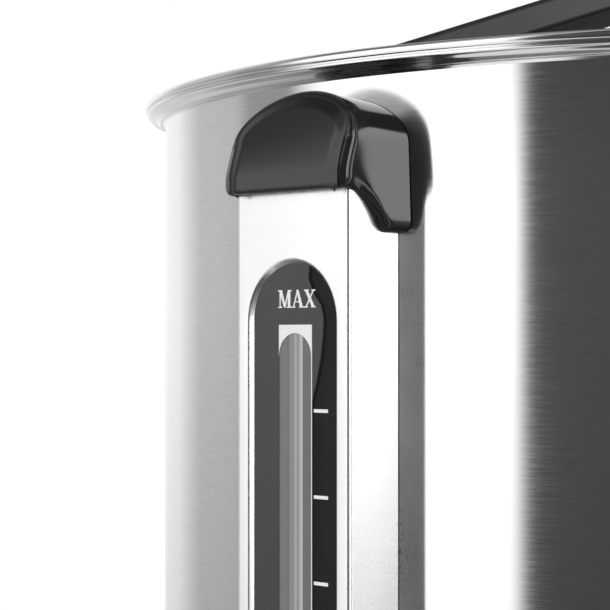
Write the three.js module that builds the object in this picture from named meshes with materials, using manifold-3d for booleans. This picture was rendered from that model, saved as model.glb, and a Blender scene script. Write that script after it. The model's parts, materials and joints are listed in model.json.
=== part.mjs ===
// Electric brew kettle, about 30 litres: a single-wall stainless vessel with a rolled rim on a black
// moulded base, a sight gauge in a steel channel above a lever tap, a loose lid with a strap handle.
// Millimetres, +Z up. The kettle stands on z = 0 with its tap towards -Y. Every part is built about
// the vessel's own axis, and one group then moves the whole kettle so that the origin is the centre of
// its footprint.

import * as THREE from "three";
import { mergeVertices } from "three/addons/utils/BufferGeometryUtils.js";
import Module from "manifold-3d";

const wasm = await Module();
wasm.setup();

// ---------- driving dimensions ----------

const AXIS_Y = 41; // the vessel's axis stands this far behind the centre of the footprint
const GAP = 0.3; // left between parts that touch
const ROUND = 44; // facets round the large shells

const WALL_R = 175; // outside of the vessel wall
const SHEET = 1; // vessel sheet
const BORE_R = WALL_R - SHEET;
const FLOOR_Z = 72.2; // inside of the vessel floor
const UNDER_Z = FLOOR_Z - 1.2;
const RIM_Z = 455; // top of the rolled rim
const RIM_R = 181; // outside of the rim bead

const BASE_Z = 7; // lower edge of the base housing
const BASE_TOP = 82;
const BASE_R = 179;
const FASCIA = { half: 82, front: -188, low: 14, high: 74, wall: 3 };

const GAUGE = { half: 19.8, face: 191.4, sheet: 1, low: 141, high: 425 };
const WINDOW = { half: 15.6, low: 158, high: 404.3, lip: 0.8 };
const SLOT = { half: 5.6, low: 168, high: 385 };
const TUBE = { r: 5.5, bore: 3.7, y: -182.5, low: 122, high: 421 };
const HOOD = { half: 23, shoulder: 431, top: 445, front: 194.8, lip: 419.7, drop: 10.2, leg: 9, setBack: 7.5 };
const FOOT = { half: 23, top: 147, front: 192.6 };

const TAP_Z = 106; // axis of the tap's shank
const BARREL_Y = -227; // axis of the tap's upright barrel
const SEAT_Z = TAP_Z - 14;
const BONNET_Z = TAP_Z + 22;
const PIN_Z = BONNET_Z + 12.3;

const LID_TOP = 464;
const STRAP = { slope: 0.31, at57: 32, thick: 9.5, crest: 44.5, half: 122, width: 50, post: 26 };
const STRAP_TURN = Math.PI / 4; // the loose lid lies with its handle turned this far from the X axis

const HANDLE_Z = 385;
const KNOB = { x: 44, z: 44, r: 20 };
const SWITCH = { x: -46, z: 44, half: 7.5, tall: 14 };
const LAMPS = [
  { name: "lamp_heating", z: 54, look: "red" },
  { name: "lamp_ready", z: 34, look: "green" },
];
const LAMP_X = -8;
const INLET = { z: 42, half: 15, tall: 11.5 };

// ---------- materials ----------

function material(color, roughness, metalness, more = {}) {
  return new THREE.MeshStandardMaterial({ color, roughness, metalness, ...more });
}

const finish = {
  brushed: material(0xc9cacc, 0.32, 1),
  polished: material(0xd6d7d9, 0.12, 1),
  gloss: material(0x141415, 0.12, 0),
  satin: material(0x1b1b1c, 0.45, 0),
  glass: material(0xdfe6e8, 0.04, 0, { transparent: true, opacity: 0.35 }),
  silicone: material(0xd9d9d4, 0.6, 0),
  rubber: material(0x222222, 0.85, 0),
  aluminium: material(0xa9abad, 0.45, 1),
  brass: material(0xb9974e, 0.35, 1),
  red: material(0xb3150f, 0.2, 0),
  green: material(0x1d8c35, 0.2, 0),
  brown: material(0x5a3320, 0.6, 0),
  blue: material(0x1d4f9c, 0.6, 0),
};

// ---------- solids ----------

// A closed three.js geometry as a manifold-3d solid.
function solid(geometry) {
  const flat = geometry.index ? geometry.toNonIndexed() : geometry;
  const bare = new THREE.BufferGeometry().setAttribute("position", flat.getAttribute("position"));
  const merged = mergeVertices(bare, 1e-4);
  const corners = merged.index.array;
  const kept = [];
  for (let i = 0; i < corners.length; i += 3) {
    const [a, b, c] = corners.slice(i, i + 3);
    if (a !== b && b !== c && c !== a) kept.push(a, b, c);
  }
  return new wasm.Manifold(
    new wasm.Mesh({
      numProp: 3,
      vertProperties: merged.attributes.position.array,
      triVerts: new Uint32Array(kept),
    }),
  );
}

function geometryOf(shape) {
  if (shape.isBufferGeometry) return shape;
  const made = shape.getMesh();
  const geometry = new THREE.BufferGeometry();
  geometry.setAttribute("position", new THREE.BufferAttribute(made.vertProperties, 3));
  geometry.setIndex(new THREE.BufferAttribute(made.triVerts, 1));
  geometry.computeVertexNormals();
  return geometry;
}

function union(...shapes) {
  return shapes.reduce((all, next) => all.add(next));
}

function minus(shape, ...tools) {
  return tools.reduce((rest, tool) => rest.subtract(tool), shape);
}

// A profile of [radius, height] turned about +Z. It closes on itself, or starts and ends on the axis.
function turned(profile, facets = ROUND) {
  const area = profile.reduce((sum, [x, y], i) => {
    const [nextX, nextY] = profile[(i + 1) % profile.length];
    return sum + x * nextY - nextX * y;
  }, 0);
  const loop = area > 0 ? profile : [...profile].reverse();
  const onAxis = profile[0][0] === 0;
  const start = loop.findIndex(([x]) => x === 0);
  // a profile on the axis starts and ends there; any other repeats its first point
  const ordered = onAxis ? rotateToAxis(loop, start) : [...loop, loop[0]];
  const points = ordered.map(([x, y]) => new THREE.Vector2(x, y));
  return solid(new THREE.LatheGeometry(points, facets).rotateX(Math.PI / 2));
}

function rotateToAxis(loop, start) {
  const turnedLoop = [...loop.slice(start), ...loop.slice(0, start)];
  if (turnedLoop[1][0] !== 0) return turnedLoop;
  return [...turnedLoop.slice(1), turnedLoop[0]];
}

// A solid or hollow round bar along +Z between two heights.
function bar(r, low, high, facets = 20, bore = 0) {
  return turned([[bore, low], [r, low], [r, high], [bore, high]], facets);
}

function box(x0, x1, y0, y1, z0, z1) {
  const block = new THREE.BoxGeometry(x1 - x0, y1 - y0, z1 - z0);
  return solid(block.translate((x0 + x1) / 2, (y0 + y1) / 2, (z0 + z1) / 2));
}

function shapeOf(points) {
  return new THREE.Shape(points.map(([x, y]) => new THREE.Vector2(x, y)));
}

function extruded(outline, depth, curveSegments = 10) {
  const settings = { depth, bevelEnabled: false, curveSegments };
  return new THREE.ExtrudeGeometry(outline, settings);
}

// An outline drawn in X and Z, extruded from y0 to y1.
function extrudedAlongY(outline, y0, y1, curveSegments) {
  const geometry = extruded(outline, y1 - y0, curveSegments);
  return solid(geometry.rotateX(Math.PI / 2).translate(0, y1, 0));
}

// An outline drawn in Y and Z, extruded across x from -half to half.
function extrudedAcrossX(outline, half) {
  const geometry = extruded(outline, 2 * half);
  return solid(geometry.rotateX(Math.PI / 2).rotateZ(Math.PI / 2).translate(-half, 0, 0));
}

// A round tube along a smooth curve.
function tube(r, points, steps, sides = 8) {
  const ring = shapeOf(around(sides, r));
  const curve = new THREE.CatmullRomCurve3(points.map((p) => new THREE.Vector3(...p)));
  const geometry = new THREE.ExtrudeGeometry(ring, { steps, extrudePath: curve, bevelEnabled: false });
  return solid(geometry);
}

function around(count, r, start = 0) {
  return Array.from({ length: count }, (_, i) => {
    const angle = start + (2 * Math.PI * i) / count;
    return [r * Math.cos(angle), r * Math.sin(angle)];
  });
}

// The points of an arc, in degrees, with its two ends.
function arc(cx, cy, r, from, to, count) {
  return Array.from({ length: count + 1 }, (_, i) => {
    const angle = THREE.MathUtils.degToRad(from + ((to - from) * i) / count);
    return [cx + r * Math.cos(angle), cy + r * Math.sin(angle)];
  });
}

// A slot with round ends, upright, in X and Z.
function stadium(half, low, high, count = 10) {
  return shapeOf([
    ...arc(0, high - half, half, 0, 180, count),
    ...arc(0, low + half, half, 180, 360, count),
  ]);
}

// A round bar along Y: "low" and "high" are y values.
function barY(r, low, high, x = 0, z = 0, facets = 20, bore = 0) {
  return bar(r, -high, -low, facets, bore).rotate([90, 0, 0]).translate([x, 0, z]);
}

function barX(r, low, high, y, z, facets = 16, bore = 0) {
  return bar(r, low, high, facets, bore).rotate([0, 90, 0]).translate([0, y, z]);
}

const wallCore = bar(WALL_R + GAP, 0, RIM_Z + 20, ROUND * 2); // what fits against the wall is cut by this
const innerCore = bar(BORE_R - GAP - 0.3, 0, RIM_Z, ROUND * 2);

const kettle = new THREE.Group();
kettle.position.y = AXIS_Y;

function add(name, shape, look) {
  const mesh = new THREE.Mesh(geometryOf(shape), look);
  mesh.name = name;
  kettle.add(mesh);
}

// ---------- vessel ----------

function vessel() {
  const outside = [
    [0, UNDER_Z],
    ...arc(WALL_R - 8, UNDER_Z + 8, 8, -90, 0, 4),
    [WALL_R, RIM_Z - 7.5],
    [WALL_R + 1.8, RIM_Z - 5.2],
    [WALL_R + 5.2, RIM_Z - 2.4],
    [RIM_R, RIM_Z - 1],
    [RIM_R - 1.4, RIM_Z],
  ];
  const inside = [
    [RIM_R - 3, RIM_Z - 0.6],
    [BORE_R + 0.8, RIM_Z - 5.5],
    [BORE_R, RIM_Z - 8],
    ...arc(BORE_R - 7, FLOOR_Z + 7, 7, 0, -90, 4),
    [0, FLOOR_Z],
  ];
  const pot = turned([...outside, ...inside]);
  const tapHole = barY(10.6, -WALL_R - 5, -WALL_R + 10, 0, TAP_Z);
  const screwHoles = screwPlaces().map(({ side, y }) =>
    barX(2.7, side > 0 ? 160 : -190, side > 0 ? 190 : -160, y, HANDLE_Z, 12),
  );
  return minus(pot, tapHole, ...screwHoles);
}

// ---------- base ----------

function baseHousing() {
  const shell = turned([
    [BASE_R + 1, BASE_Z],
    [BASE_R, BASE_TOP - 4],
    [BASE_R - 1.4, BASE_TOP - 0.8],
    [BASE_R - 2.8, BASE_TOP],
    [WALL_R + GAP + 0.3, BASE_TOP],
    [WALL_R + GAP + 0.3, 76],
    [WALL_R - 3, 70],
    [WALL_R - 14, 69.6],
    [WALL_R - 14, 66.6],
    [WALL_R - 1, 66.6],
    [BASE_R - 3, 60],
    [BASE_R - 2, BASE_Z],
  ]);
  const { half, front, low, high, wall } = FASCIA;
  const outer = box(-half, half, front, -150, low, high);
  const pocket = box(-half + wall, half - wall, front + wall, -140, low + wall, high - 8);
  const body = minus(union(shell, outer), pocket);
  const inside = bar(WALL_R - 3, BASE_Z - 1, 66, ROUND);
  const seat = bar(WALL_R + GAP + 0.3, 70, BASE_TOP + 5, ROUND);
  const knobHole = barY(4.6, front - 5, front + 8, KNOB.x, KNOB.z, 20);
  const lampHoles = LAMPS.map((lamp) => barY(4.6, front - 5, front + 8, LAMP_X, lamp.z, 20));
  const { x, z, half: wide, tall } = SWITCH;
  const rockerHole = box(x - wide, x + wide, front - 5, front + 8, z - tall, z + tall);
  const inletHole = box(-INLET.half, INLET.half, 165, 190, INLET.z - INLET.tall, INLET.z + INLET.tall);
  return minus(body, inside, seat, knobHole, ...lampHoles, rockerHole, inletHole);
}

function fasciaPlate() {
  const { half, front, low, high } = FASCIA;
  const back = front - GAP;
  const plate = box(-half + 4, half - 4, back - 0.8, back, low + 4, high - 4);
  const { x, z, half: wide, tall } = SWITCH;
  return minus(
    plate,
    barY(4.6, front - 5, front + 5, KNOB.x, KNOB.z, 20),
    ...LAMPS.map((lamp) => barY(4.6, front - 5, front + 5, LAMP_X, lamp.z, 20)),
    box(x - wide, x + wide, front - 5, front + 5, z - tall, z + tall),
  );
}

const FEET = [45, 135, 225, 315].map((degrees) => {
  const angle = THREE.MathUtils.degToRad(degrees);
  return [145 * Math.cos(angle), 145 * Math.sin(angle)];
});

const TIES = [30, 150, 270].map((degrees) => {
  const angle = THREE.MathUtils.degToRad(degrees);
  return [120 * Math.cos(angle), 120 * Math.sin(angle)];
});

function bottomPlate() {
  const plate = bar(BASE_R - 3.6, BASE_Z + 1.5, BASE_Z + 2.7, ROUND);
  const slots = [-2, -1, 0, 1, 2].map((i) => box(i * 18 - 3, i * 18 + 3, -45, 45, 0, 20));
  const footHoles = FEET.map(([x, y]) => bar(5.4, 0, 20, 12).translate([x, y, 0]));
  const tieHoles = TIES.map(([x, y]) => bar(3, 0, 20, 12).translate([x, y, 0]));
  return minus(plate, ...slots, ...footHoles, ...tieHoles);
}

// A pad under the plate and a button that snaps through its hole.
function rubberFoot() {
  const top = BASE_Z + 1.5 - GAP;
  const pad = [[0, 0], [13.6, 0], [14.5, 1], [13.5, top], [5, top]];
  const button = [[5, top + 2], [6.4, top + 2.2], [4, top + 6], [0, top + 6]];
  return turned([...pad, ...button], 12);
}

function tieBolt() {
  const plateTop = BASE_Z + 2.7;
  return turned(
    [[0, 4.6], [5, 4.6], [5, BASE_Z + 1.5 - GAP], [2.5, BASE_Z + 1.5 - GAP], [2.5, plateTop + 3],
     [2.5, UNDER_Z - GAP], [0, UNDER_Z - GAP]],
    12,
  );
}

// ---------- heater and controls ----------

const HEATER = { r: 92, top: UNDER_Z - GAP, thick: 5, tube: 4 };

function heaterPlate() {
  return bar(HEATER.r, HEATER.top - HEATER.thick, HEATER.top, 28, 12);
}

// One open turn of sheathed tube under the plate, with its two cold ends turned down.
function heatingElement() {
  const r = HEATER.r - 16;
  const z = HEATER.top - HEATER.thick - HEATER.tube - 1.3;
  const turn = arc(0, 0, r, -60, 240, 16).map(([x, y]) => [x, y, z]);
  const [first, last] = [turn[0], turn[turn.length - 1]];
  const points = [[first[0] - 14, first[1] - 12, z - 12], ...turn, [last[0] + 14, last[1] - 12, z - 12]];
  return tube(HEATER.tube, points, 30, 6);
}

function dryBoilCutout() {
  const top = UNDER_Z - GAP;
  return union(bar(9, top - 9, top, 20), box(-3, 3, -13, 13, top - 8, top - 5.4));
}

function thermostatBody() {
  const back = FASCIA.front + FASCIA.wall + GAP;
  const block = box(KNOB.x - 17, KNOB.x + 17, back, back + 24, KNOB.z - 15, KNOB.z + 15);
  return minus(block, barY(3.5, back - 1, back + 12, KNOB.x, KNOB.z, 16));
}

function thermostatShaft() {
  const back = FASCIA.front + FASCIA.wall + GAP;
  return barY(3, FASCIA.front - 14, back + 11, KNOB.x, KNOB.z, 16);
}

// The knob skirt, its grip bar and the blind bore for the shaft.
function thermostatKnob() {
  const back = FASCIA.front - 1.6;
  const skirt = [[0, 0], [KNOB.r, 0], [KNOB.r, 4], [KNOB.r - 2.4, 7]];
  const body = turned([...skirt, [KNOB.r - 3.4, 16], [KNOB.r - 4.6, 17.4], [0, 17.4]], 24);
  const grip = box(-3.4, 3.4, -KNOB.r + 1.5, KNOB.r - 1.5, 6, 21);
  const bore = bar(3.3, -1, 13, 16);
  return minus(union(body, grip), bore).rotate([90, 0, 0]).translate([KNOB.x, back, KNOB.z]);
}

// The rocker's frame: a flange on the fascia and a box behind it, open to the front.
function switchFrame() {
  const { x, z, half, tall } = SWITCH;
  const face = FASCIA.front - GAP - 0.8 - GAP;
  const flange = box(x - half - 2, x + half + 2, face - 1.4, face, z - tall - 2, z + tall + 2);
  const body = box(x - half + GAP, x + half - GAP, face - 1, face + 22, z - tall + GAP, z + tall - GAP);
  const well = box(x - half + 1.8, x + half - 1.8, face - 5, face + 12, z - tall + 1.8, z + tall - 1.8);
  return minus(union(flange, body), well);
}

const ROCKER_TILT = 8; // degrees that the rocker leans at "off"
const ROCKER_Y = FASCIA.front + 2.4;

function switchRocker() {
  const { x, z, half, tall } = SWITCH;
  const high = tall - 2.6;
  const face = [[-4.6, -high], [-3, -high * 0.5], [-2.4, 0], [-3, high * 0.5], [-4.6, high]];
  const back = [[0.5, high], [4.5, 3], [4.5, -3], [0.5, -high]];
  const rocker = extrudedAcrossX(shapeOf([...face, ...back]), half - 2.3);
  return rocker.rotate([ROCKER_TILT, 0, 0]).translate([x, ROCKER_Y, z]);
}

function lampLens() {
  const face = FASCIA.front - GAP - 0.8;
  return turned([[0, -12], [4.2, -12], [4.2, GAP], [5.6, GAP], [5.6, 1.4], [3.6, 3], [0, 3.4]], 14)
    .rotate([90, 0, 0])
    .translate([LAMP_X, face, 0]);
}

// The plug inlet: a flange outside the base and a well behind it, open to the back, with three pins.
function mainsInlet() {
  const { z, half, tall } = INLET;
  const shell = BASE_R + 1;
  const flange = box(-half - 9, half + 9, shell + 1, shell + 3.6, z - tall - 2, z + tall + 2);
  const body = box(-half + GAP, half - GAP, 152, shell + 2, z - tall + GAP, z + tall - GAP);
  const well = box(-half + 3, half - 3, 158, shell + 10, z - tall + 3, z + tall - 3);
  const pins = inletPins().map(([x, pinZ]) => box(x - 1.4, x + 1.4, 150, 160, pinZ - 2.4, pinZ + 2.4));
  return minus(union(flange, body), well, ...pins);
}

function inletPins() {
  return [[-7, INLET.z - 2], [0, INLET.z + 2], [7, INLET.z - 2]];
}

function inletPin([x, z]) {
  return box(x - 1, x + 1, 146, 176, z - 2, z + 2);
}

function terminalBlock() {
  const block = box(-16, 16, 60, 76, 12.2, 24);
  const holes = [-10, 0, 10].map((x) => box(x - 2.4, x + 2.4, 55, 80, 15, 20));
  return minus(block, ...holes);
}

// ---------- sight gauge ----------

function gaugeCover() {
  const { half, face, sheet, low, high } = GAUGE;
  const bend = 1.5;
  const outer = shapeOf([
    [-half, -170],
    [-half, -face + bend],
    [-half + bend, -face],
    [half - bend, -face],
    [half, -face + bend],
    [half, -170],
  ]);
  const inner = shapeOf([
    [-half + sheet, -160],
    [-half + sheet, -face + sheet],
    [half - sheet, -face + sheet],
    [half - sheet, -160],
  ]);
  const channel = minus(
    solid(extruded(outer, high - low).translate(0, 0, low)),
    solid(extruded(inner, high - low + 10).translate(0, 0, low - 5)),
  );
  const opening = stadium(WINDOW.half - WINDOW.lip, WINDOW.low + WINDOW.lip, WINDOW.high - WINDOW.lip);
  const window = extrudedAlongY(opening, -face - 5, -face + 5);
  return minus(channel, window, wallCore);
}

function gaugeFace() {
  const front = -GAUGE.face + GAUGE.sheet + GAP;
  const plate = extrudedAlongY(stadium(18, WINDOW.low - 2.4, WINDOW.high + 2.4), front, front + 0.9);
  const slot = extrudedAlongY(stadium(SLOT.half, SLOT.low, SLOT.high, 8), front - 5, front + 5);
  return minus(plate, slot);
}

// A clear strip that fills the face's slot in front of the tube.
function gaugeLens() {
  const front = -GAUGE.face + GAUGE.sheet + 2 * GAP;
  const outline = stadium(SLOT.half - GAP, SLOT.low + GAP, SLOT.high - GAP, 8);
  return extrudedAlongY(outline, front, front + 1.3);
}

function sightTube() {
  return bar(TUBE.r, TUBE.low, TUBE.high, 20, TUBE.bore).translate([0, TUBE.y, 0]);
}

function tubeSealTop() {
  const half = GAUGE.half - GAUGE.sheet - GAP;
  const block = box(-half, half, TUBE.y - 5.6, TUBE.y + 6, TUBE.high - 12, TUBE.high - 2);
  return minus(block, bar(TUBE.r + GAP, 0, 500, 20).translate([0, TUBE.y, 0]));
}

function tubeSealBottom() {
  const port = TUBE.r + GAP;
  return bar(port + 0.9, TUBE.low + 0.4, TUBE.low + 10, 20, port).translate([0, TUBE.y, 0]);
}

// The moulded hood: an arch across the gauge, cut to its side outline, with a leg down the wall.
function gaugeHood() {
  const { half, shoulder, top, front, lip, drop, leg, setBack } = HOOD;
  const crown = arc(0, 0, 1, 0, 180, 16).map(([x, z]) => [half * x, shoulder + (top - shoulder) * z]);
  const arch = shapeOf([[half, 400], ...crown, [-half, 400]]);
  const curve = 8;
  const underside = Array.from({ length: curve + 1 }, (_, i) => {
    const share = i / curve;
    const reach = front - 0.5 - share * (front - 0.5 - WALL_R - leg);
    return [-reach, lip - drop * share ** 1.25];
  });
  const side = shapeOf([
    [-front, lip], ...underside, [-165, lip - drop], [-165, top + 1], [-(front - setBack), top + 1],
  ].filter(([y, z], i, all) => i === 0 || y !== all[i - 1][0] || z !== all[i - 1][1]));
  const block = extrudedAlongY(arch, -front - 2, -160).intersect(extrudedAcrossX(side, half + 5));
  const { face } = GAUGE;
  const room = GAUGE.half + GAP;
  const pocket = box(-room, room, -face - GAP, -150, 380, GAUGE.high + GAP);
  return minus(block, pocket, wallCore);
}

// The lower cap: the hood's arch turned down, round the tap's shank.
function gaugeFoot() {
  const { half, top, front } = FOOT;
  const arch = shapeOf([[-half, top], ...arc(0, TAP_Z, half, 180, 360, 16), [half, top]]);
  const block = extrudedAlongY(arch, -front, -160);
  const room = GAUGE.half + GAP;
  const pocket = box(-room, room, -GAUGE.face - GAP, -150, GAUGE.low - GAP, 200);
  const portRoom = box(-9, 9, -GAUGE.face - 0.5, -150, TAP_Z, 150);
  const flangeRoom = barY(15.6, -GAUGE.face + 6, -150, 0, TAP_Z);
  const shankHole = barY(10.5, -front - 5, -150, 0, TAP_Z);
  return minus(block, pocket, portRoom, flangeRoom, shankHole, wallCore);
}

// ---------- tap ----------

// Shank through the wall, a clamping flange outside it, and the upright port that feeds the sight tube.
function tapTee() {
  const shank = barY(10, -206, -157, 0, TAP_Z);
  const flange = barY(15, -181, -177.6, 0, TAP_Z);
  const clearOfWall = box(-9, 9, -177.6, -150, TAP_Z, 140);
  const port = minus(bar(8.2, TAP_Z, 132).translate([0, TUBE.y, 0]), clearOfWall);
  const flow = barY(6, -210, -150, 0, TAP_Z);
  const riser = bar(3.4, TAP_Z, 140, 16).translate([0, TUBE.y, 0]);
  const socket = bar(TUBE.r + 1.5, TUBE.low - GAP, 140, 20).translate([0, TUBE.y, 0]);
  return minus(union(shank, flange, port), flow, riser, socket);
}

function outerWasher() {
  return minus(barY(15, -177.3, -170, 0, TAP_Z), barY(10.3, -190, -160, 0, TAP_Z), wallCore);
}

function innerWasher() {
  const disc = minus(barY(15, -176, -168.5, 0, TAP_Z), barY(10.3, -190, -160, 0, TAP_Z));
  return disc.intersect(innerCore);
}

function tapNut() {
  return minus(barY(17, -168.2, -161, 0, TAP_Z, 6), barY(10.3, -180, -150, 0, TAP_Z));
}

function tapBody() {
  const barrel = bar(13.5, TAP_Z - 22, BONNET_Z).translate([0, BARREL_Y, 0]);
  const arm = barY(13, BARREL_Y, -193, 0, TAP_Z);
  const nozzle = [[0, 66], [8.4, 66], [9, 67], [10.6, TAP_Z - 24]];
  const shoulder = [[13.5, TAP_Z - 19], [13.5, TAP_Z - 10], [0, TAP_Z - 10]];
  const spout = turned([...nozzle, ...shoulder], 20).translate([0, BARREL_Y, 0]);
  const socket = barY(10.3, -206.4, -190, 0, TAP_Z);
  const passage = barY(6, BARREL_Y, -200, 0, TAP_Z, 20);
  const chamber = bar(9.4, SEAT_Z, BONNET_Z + 5).translate([0, BARREL_Y, 0]);
  const outlet = bar(5, 60, SEAT_Z + 5, 20).translate([0, BARREL_Y, 0]);
  return minus(union(barrel, arm, spout), socket, passage, chamber, outlet);
}

function tapBonnet() {
  const neck = [[3, BONNET_Z - 12], [9, BONNET_Z - 12], [9, BONNET_Z + GAP]];
  const cap = [[14, BONNET_Z + GAP], [14, BONNET_Z + 4.6], [12.6, BONNET_Z + 6], [3, BONNET_Z + 6]];
  return turned([...neck, ...cap], 20).translate([0, BARREL_Y, 0]);
}

// Rod with a retaining collar, an eye for the lever's pin at its top.
function valveStem() {
  const rod = bar(2.5, SEAT_Z + 3.4, PIN_Z, 12);
  const collar = bar(5, SEAT_Z + 7.4, SEAT_Z + 9, 16);
  const eye = barX(4, -2.5, 2.5, 0, PIN_Z, 14);
  const hole = barX(1.9, -5, 5, 0, PIN_Z, 16);
  return minus(union(rod, collar, eye), hole).translate([0, BARREL_Y, 0]);
}

function seatCup() {
  const low = SEAT_Z + GAP;
  const high = SEAT_Z + 7;
  const cup = turned([[2.8, low], [7.4, low], [8.6, SEAT_Z + 2], [8.6, high], [2.8, high]], 16);
  return cup.translate([0, BARREL_Y, 0]);
}

function tapSpring() {
  const low = SEAT_Z + 13;
  const high = BONNET_Z - 13;
  const turns = 5;
  const perTurn = 8;
  const points = Array.from({ length: turns * perTurn + 1 }, (_, i) => {
    const angle = (2 * Math.PI * i) / perTurn;
    const z = low + ((high - low) * i) / (turns * perTurn);
    return [6.6 * Math.cos(angle), BARREL_Y + 6.6 * Math.sin(angle), z];
  });
  return tube(0.6, points, turns * perTurn, 5);
}

const CAM = { r: 6, offset: 5.1 };

// Two cam cheeks either side of the stem's eye, joined by the paddle in front of them.
function tapLever() {
  const cheeks = [-1, 1].map((side) => {
    const from = side > 0 ? 2.9 : -6.4;
    return union(
      barX(CAM.r, from, from + 3.5, -CAM.offset, 0, 16),
      barX(4.4, from, from + 3.5, 0, 0, 14),
    );
  });
  const tip = [[-30, 41.5], [-34.5, 43.5], [-36.6, 40.2], [-33, 34]];
  const stalk = shapeOf([[-8.4, -1], [-6.2, 7.5], [-24, 33], ...tip, [-18.5, 9], [-12.4, -1.4]]);
  const paddle = extrudedAcrossX(stalk, 6.4);
  const wings = extrudedAcrossX(shapeOf([[-25, 30.8], [-23.6, 33.4], ...tip]), 11);
  const pinHole = barX(1.9, -10, 10, 0, 0, 16);
  return minus(union(...cheeks, paddle, wings), pinHole).translate([0, BARREL_Y, PIN_Z]);
}

function leverPin() {
  return barX(1.5, -7.4, 7.4, BARREL_Y, PIN_Z, 14);
}

// ---------- lid ----------

const LID_EDGE_Z = RIM_Z - 2; // top of the flat edge, just under the rim's top
const DOME = [[0, LID_TOP], [60, LID_TOP - 0.8], [110, LID_TOP - 3], [140, LID_TOP - 5.7]];
const STRAP_SCREW_AT = 110;

// The place of a strap screw, on the strap's own line through the lid's centre.
function strapScrewPlace(side) {
  const reach = side * STRAP_SCREW_AT;
  return [reach * Math.cos(STRAP_TURN), reach * Math.sin(STRAP_TURN), 0];
}

// A shallow dome with a flat edge and, under it, the collar that keeps the lid in the rim.
function lid() {
  const under = LID_EDGE_Z - SHEET;
  const edge = [[160, LID_EDGE_Z], [176, LID_EDGE_Z], [176, under]];
  const collar = [[170.5, under], [170.5, 441], [169.5, 441], [169.5, under], [159.7, under]];
  const inside = [...DOME].reverse().map(([r, z]) => [r && r - 0.2, z - SHEET]);
  const holes = [-1, 1].map((side) => bar(2.6, 440, 480, 12).translate(strapScrewPlace(side)));
  const vent = bar(3, 440, 480, 12).translate([-90, 90, 0]);
  return minus(turned([...DOME, ...edge, ...collar, ...inside]), ...holes, vent);
}

function strapTop(reach) {
  return RIM_Z + STRAP.at57 + (57 - reach) * STRAP.slope;
}

// A strap with straight sloping arms, a rounded crest and a post at each end.
function lidHandle() {
  const { half, thick, crest, width, post } = STRAP;
  const crestZ = RIM_Z + crest;
  const inner = half - post;
  const top = [
    [18, crestZ - 1],
    [32, strapTop(32)],
    [half - 3, strapTop(half - 3)],
    [half + 0.5, 466],
    [half, 462.6],
  ];
  const under = [
    [inner, 463.2],
    [inner - 5, strapTop(inner - 5) - thick],
    [30, strapTop(30) - thick],
    [16, crestZ - 0.8 - thick],
  ];
  const right = [...top, ...under];
  const left = [...right].reverse().map(([x, z]) => [-x, z]);
  const outline = shapeOf([[0, crestZ], ...right, [0, crestZ - thick], ...left]);
  const strap = extrudedAlongY(outline, -width / 2, width / 2);
  const lidSurface = turned([[0, 440], ...DOME.map(([r, z]) => [r, z + GAP]), [140, 440]]);
  const posts = [-1, 1].map((side) =>
    box(side > 0 ? inner : -half, side > 0 ? half : -inner, -width / 2, width / 2, 455, 466),
  );
  const bores = [-1, 1].map((side) => bar(2.3, 440, 471, 12).translate([side * STRAP_SCREW_AT, 0, 0]));
  const whole = minus(union(strap, ...posts), lidSurface, ...bores);
  return whole.rotate([0, 0, THREE.MathUtils.radToDeg(STRAP_TURN)]);
}

function lidScrew(side) {
  const head = [[0, 455.6], [3.4, 455.6], [4.6, 457], [4.6, 459]];
  return turned([...head, [2, 459], [2, 470], [0, 470]], 10).translate(strapScrewPlace(side));
}

// ---------- side handles ----------

const FLANGE_Y = 56;

function screwPlaces() {
  return [1, -1].flatMap((side) => [-FLANGE_Y, FLANGE_Y].map((y) => ({ side, y })));
}

function facing(shape, side) {
  return side > 0 ? shape : shape.rotate([0, 0, 180]);
}

// A horizontal loop with a flange at each leg, cut to the wall's curve.
function sideHandle(side) {
  const half = 8;
  const corner = [[217, 26], [212, 39], [204, 46]];
  const leg = [[190, 50], [150, 50], [150, 38], [183, 38]];
  const inner = [[191, 36.5], [199, 31], [203, 23]];
  const upper = [...corner, ...leg, ...inner];
  const lower = [...upper].reverse().map(([x, y]) => [x, -y]);
  const loop = shapeOf([...upper, ...lower]);
  const bow = solid(extruded(loop, 2 * half).translate(0, 0, HANDLE_Z - half));
  const flanges = [-1, 1].map((end) =>
    box(150, 184, end > 0 ? 38 : -64, end > 0 ? 64 : -38, HANDLE_Z - 12, HANDLE_Z + 12),
  );
  const bores = [-FLANGE_Y, FLANGE_Y].map((y) => barX(2.7, 150, 200, y, HANDLE_Z, 12));
  return facing(minus(union(bow, ...flanges), wallCore, ...bores), side);
}

function handleScrew({ side, y }) {
  const seat = 184 + GAP;
  const head = [[4.6, seat], [4.2, 186.6], [2.4, 187.6], [0, 187.6]];
  const screw = turned([[0, 166], [2.3, 166], [2.3, seat], ...head], 10);
  return screw.rotate([0, 90, 0]).translate([0, y, HANDLE_Z]).rotate([0, 0, side > 0 ? 0 : 180]);
}

// ---------- wiring ----------

const LEADS = [
  { name: "lead_live", look: finish.brown, pin: [-7, 143, 40], middle: [-9, 110, 30], x: -10 },
  { name: "lead_earth", look: finish.green, pin: [0, 143, 44], middle: [0, 110, 32], x: 0 },
  { name: "lead_neutral", look: finish.blue, pin: [7, 143, 40], middle: [9, 110, 30], x: 10 },
];

function lead({ pin, middle, x }) {
  return tube(1.3, [pin, middle, [x, 84, 17.5], [x, 79, 17.5]], 10, 5);
}

function capillary() {
  const start = FASCIA.front + FASCIA.wall + GAP + 24 + GAP;
  const behindKnob = [[KNOB.x + 6, start, KNOB.z + 6], [KNOB.x + 8, -140, 50], [70, -110, 56]];
  const toHeater = [[104, -60, 60], [108, 0, 67], [104, 40, 67.6]];
  return tube(1.2, [...behindKnob, ...toHeater], 16, 5);
}

// ---------- assembly ----------

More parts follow.
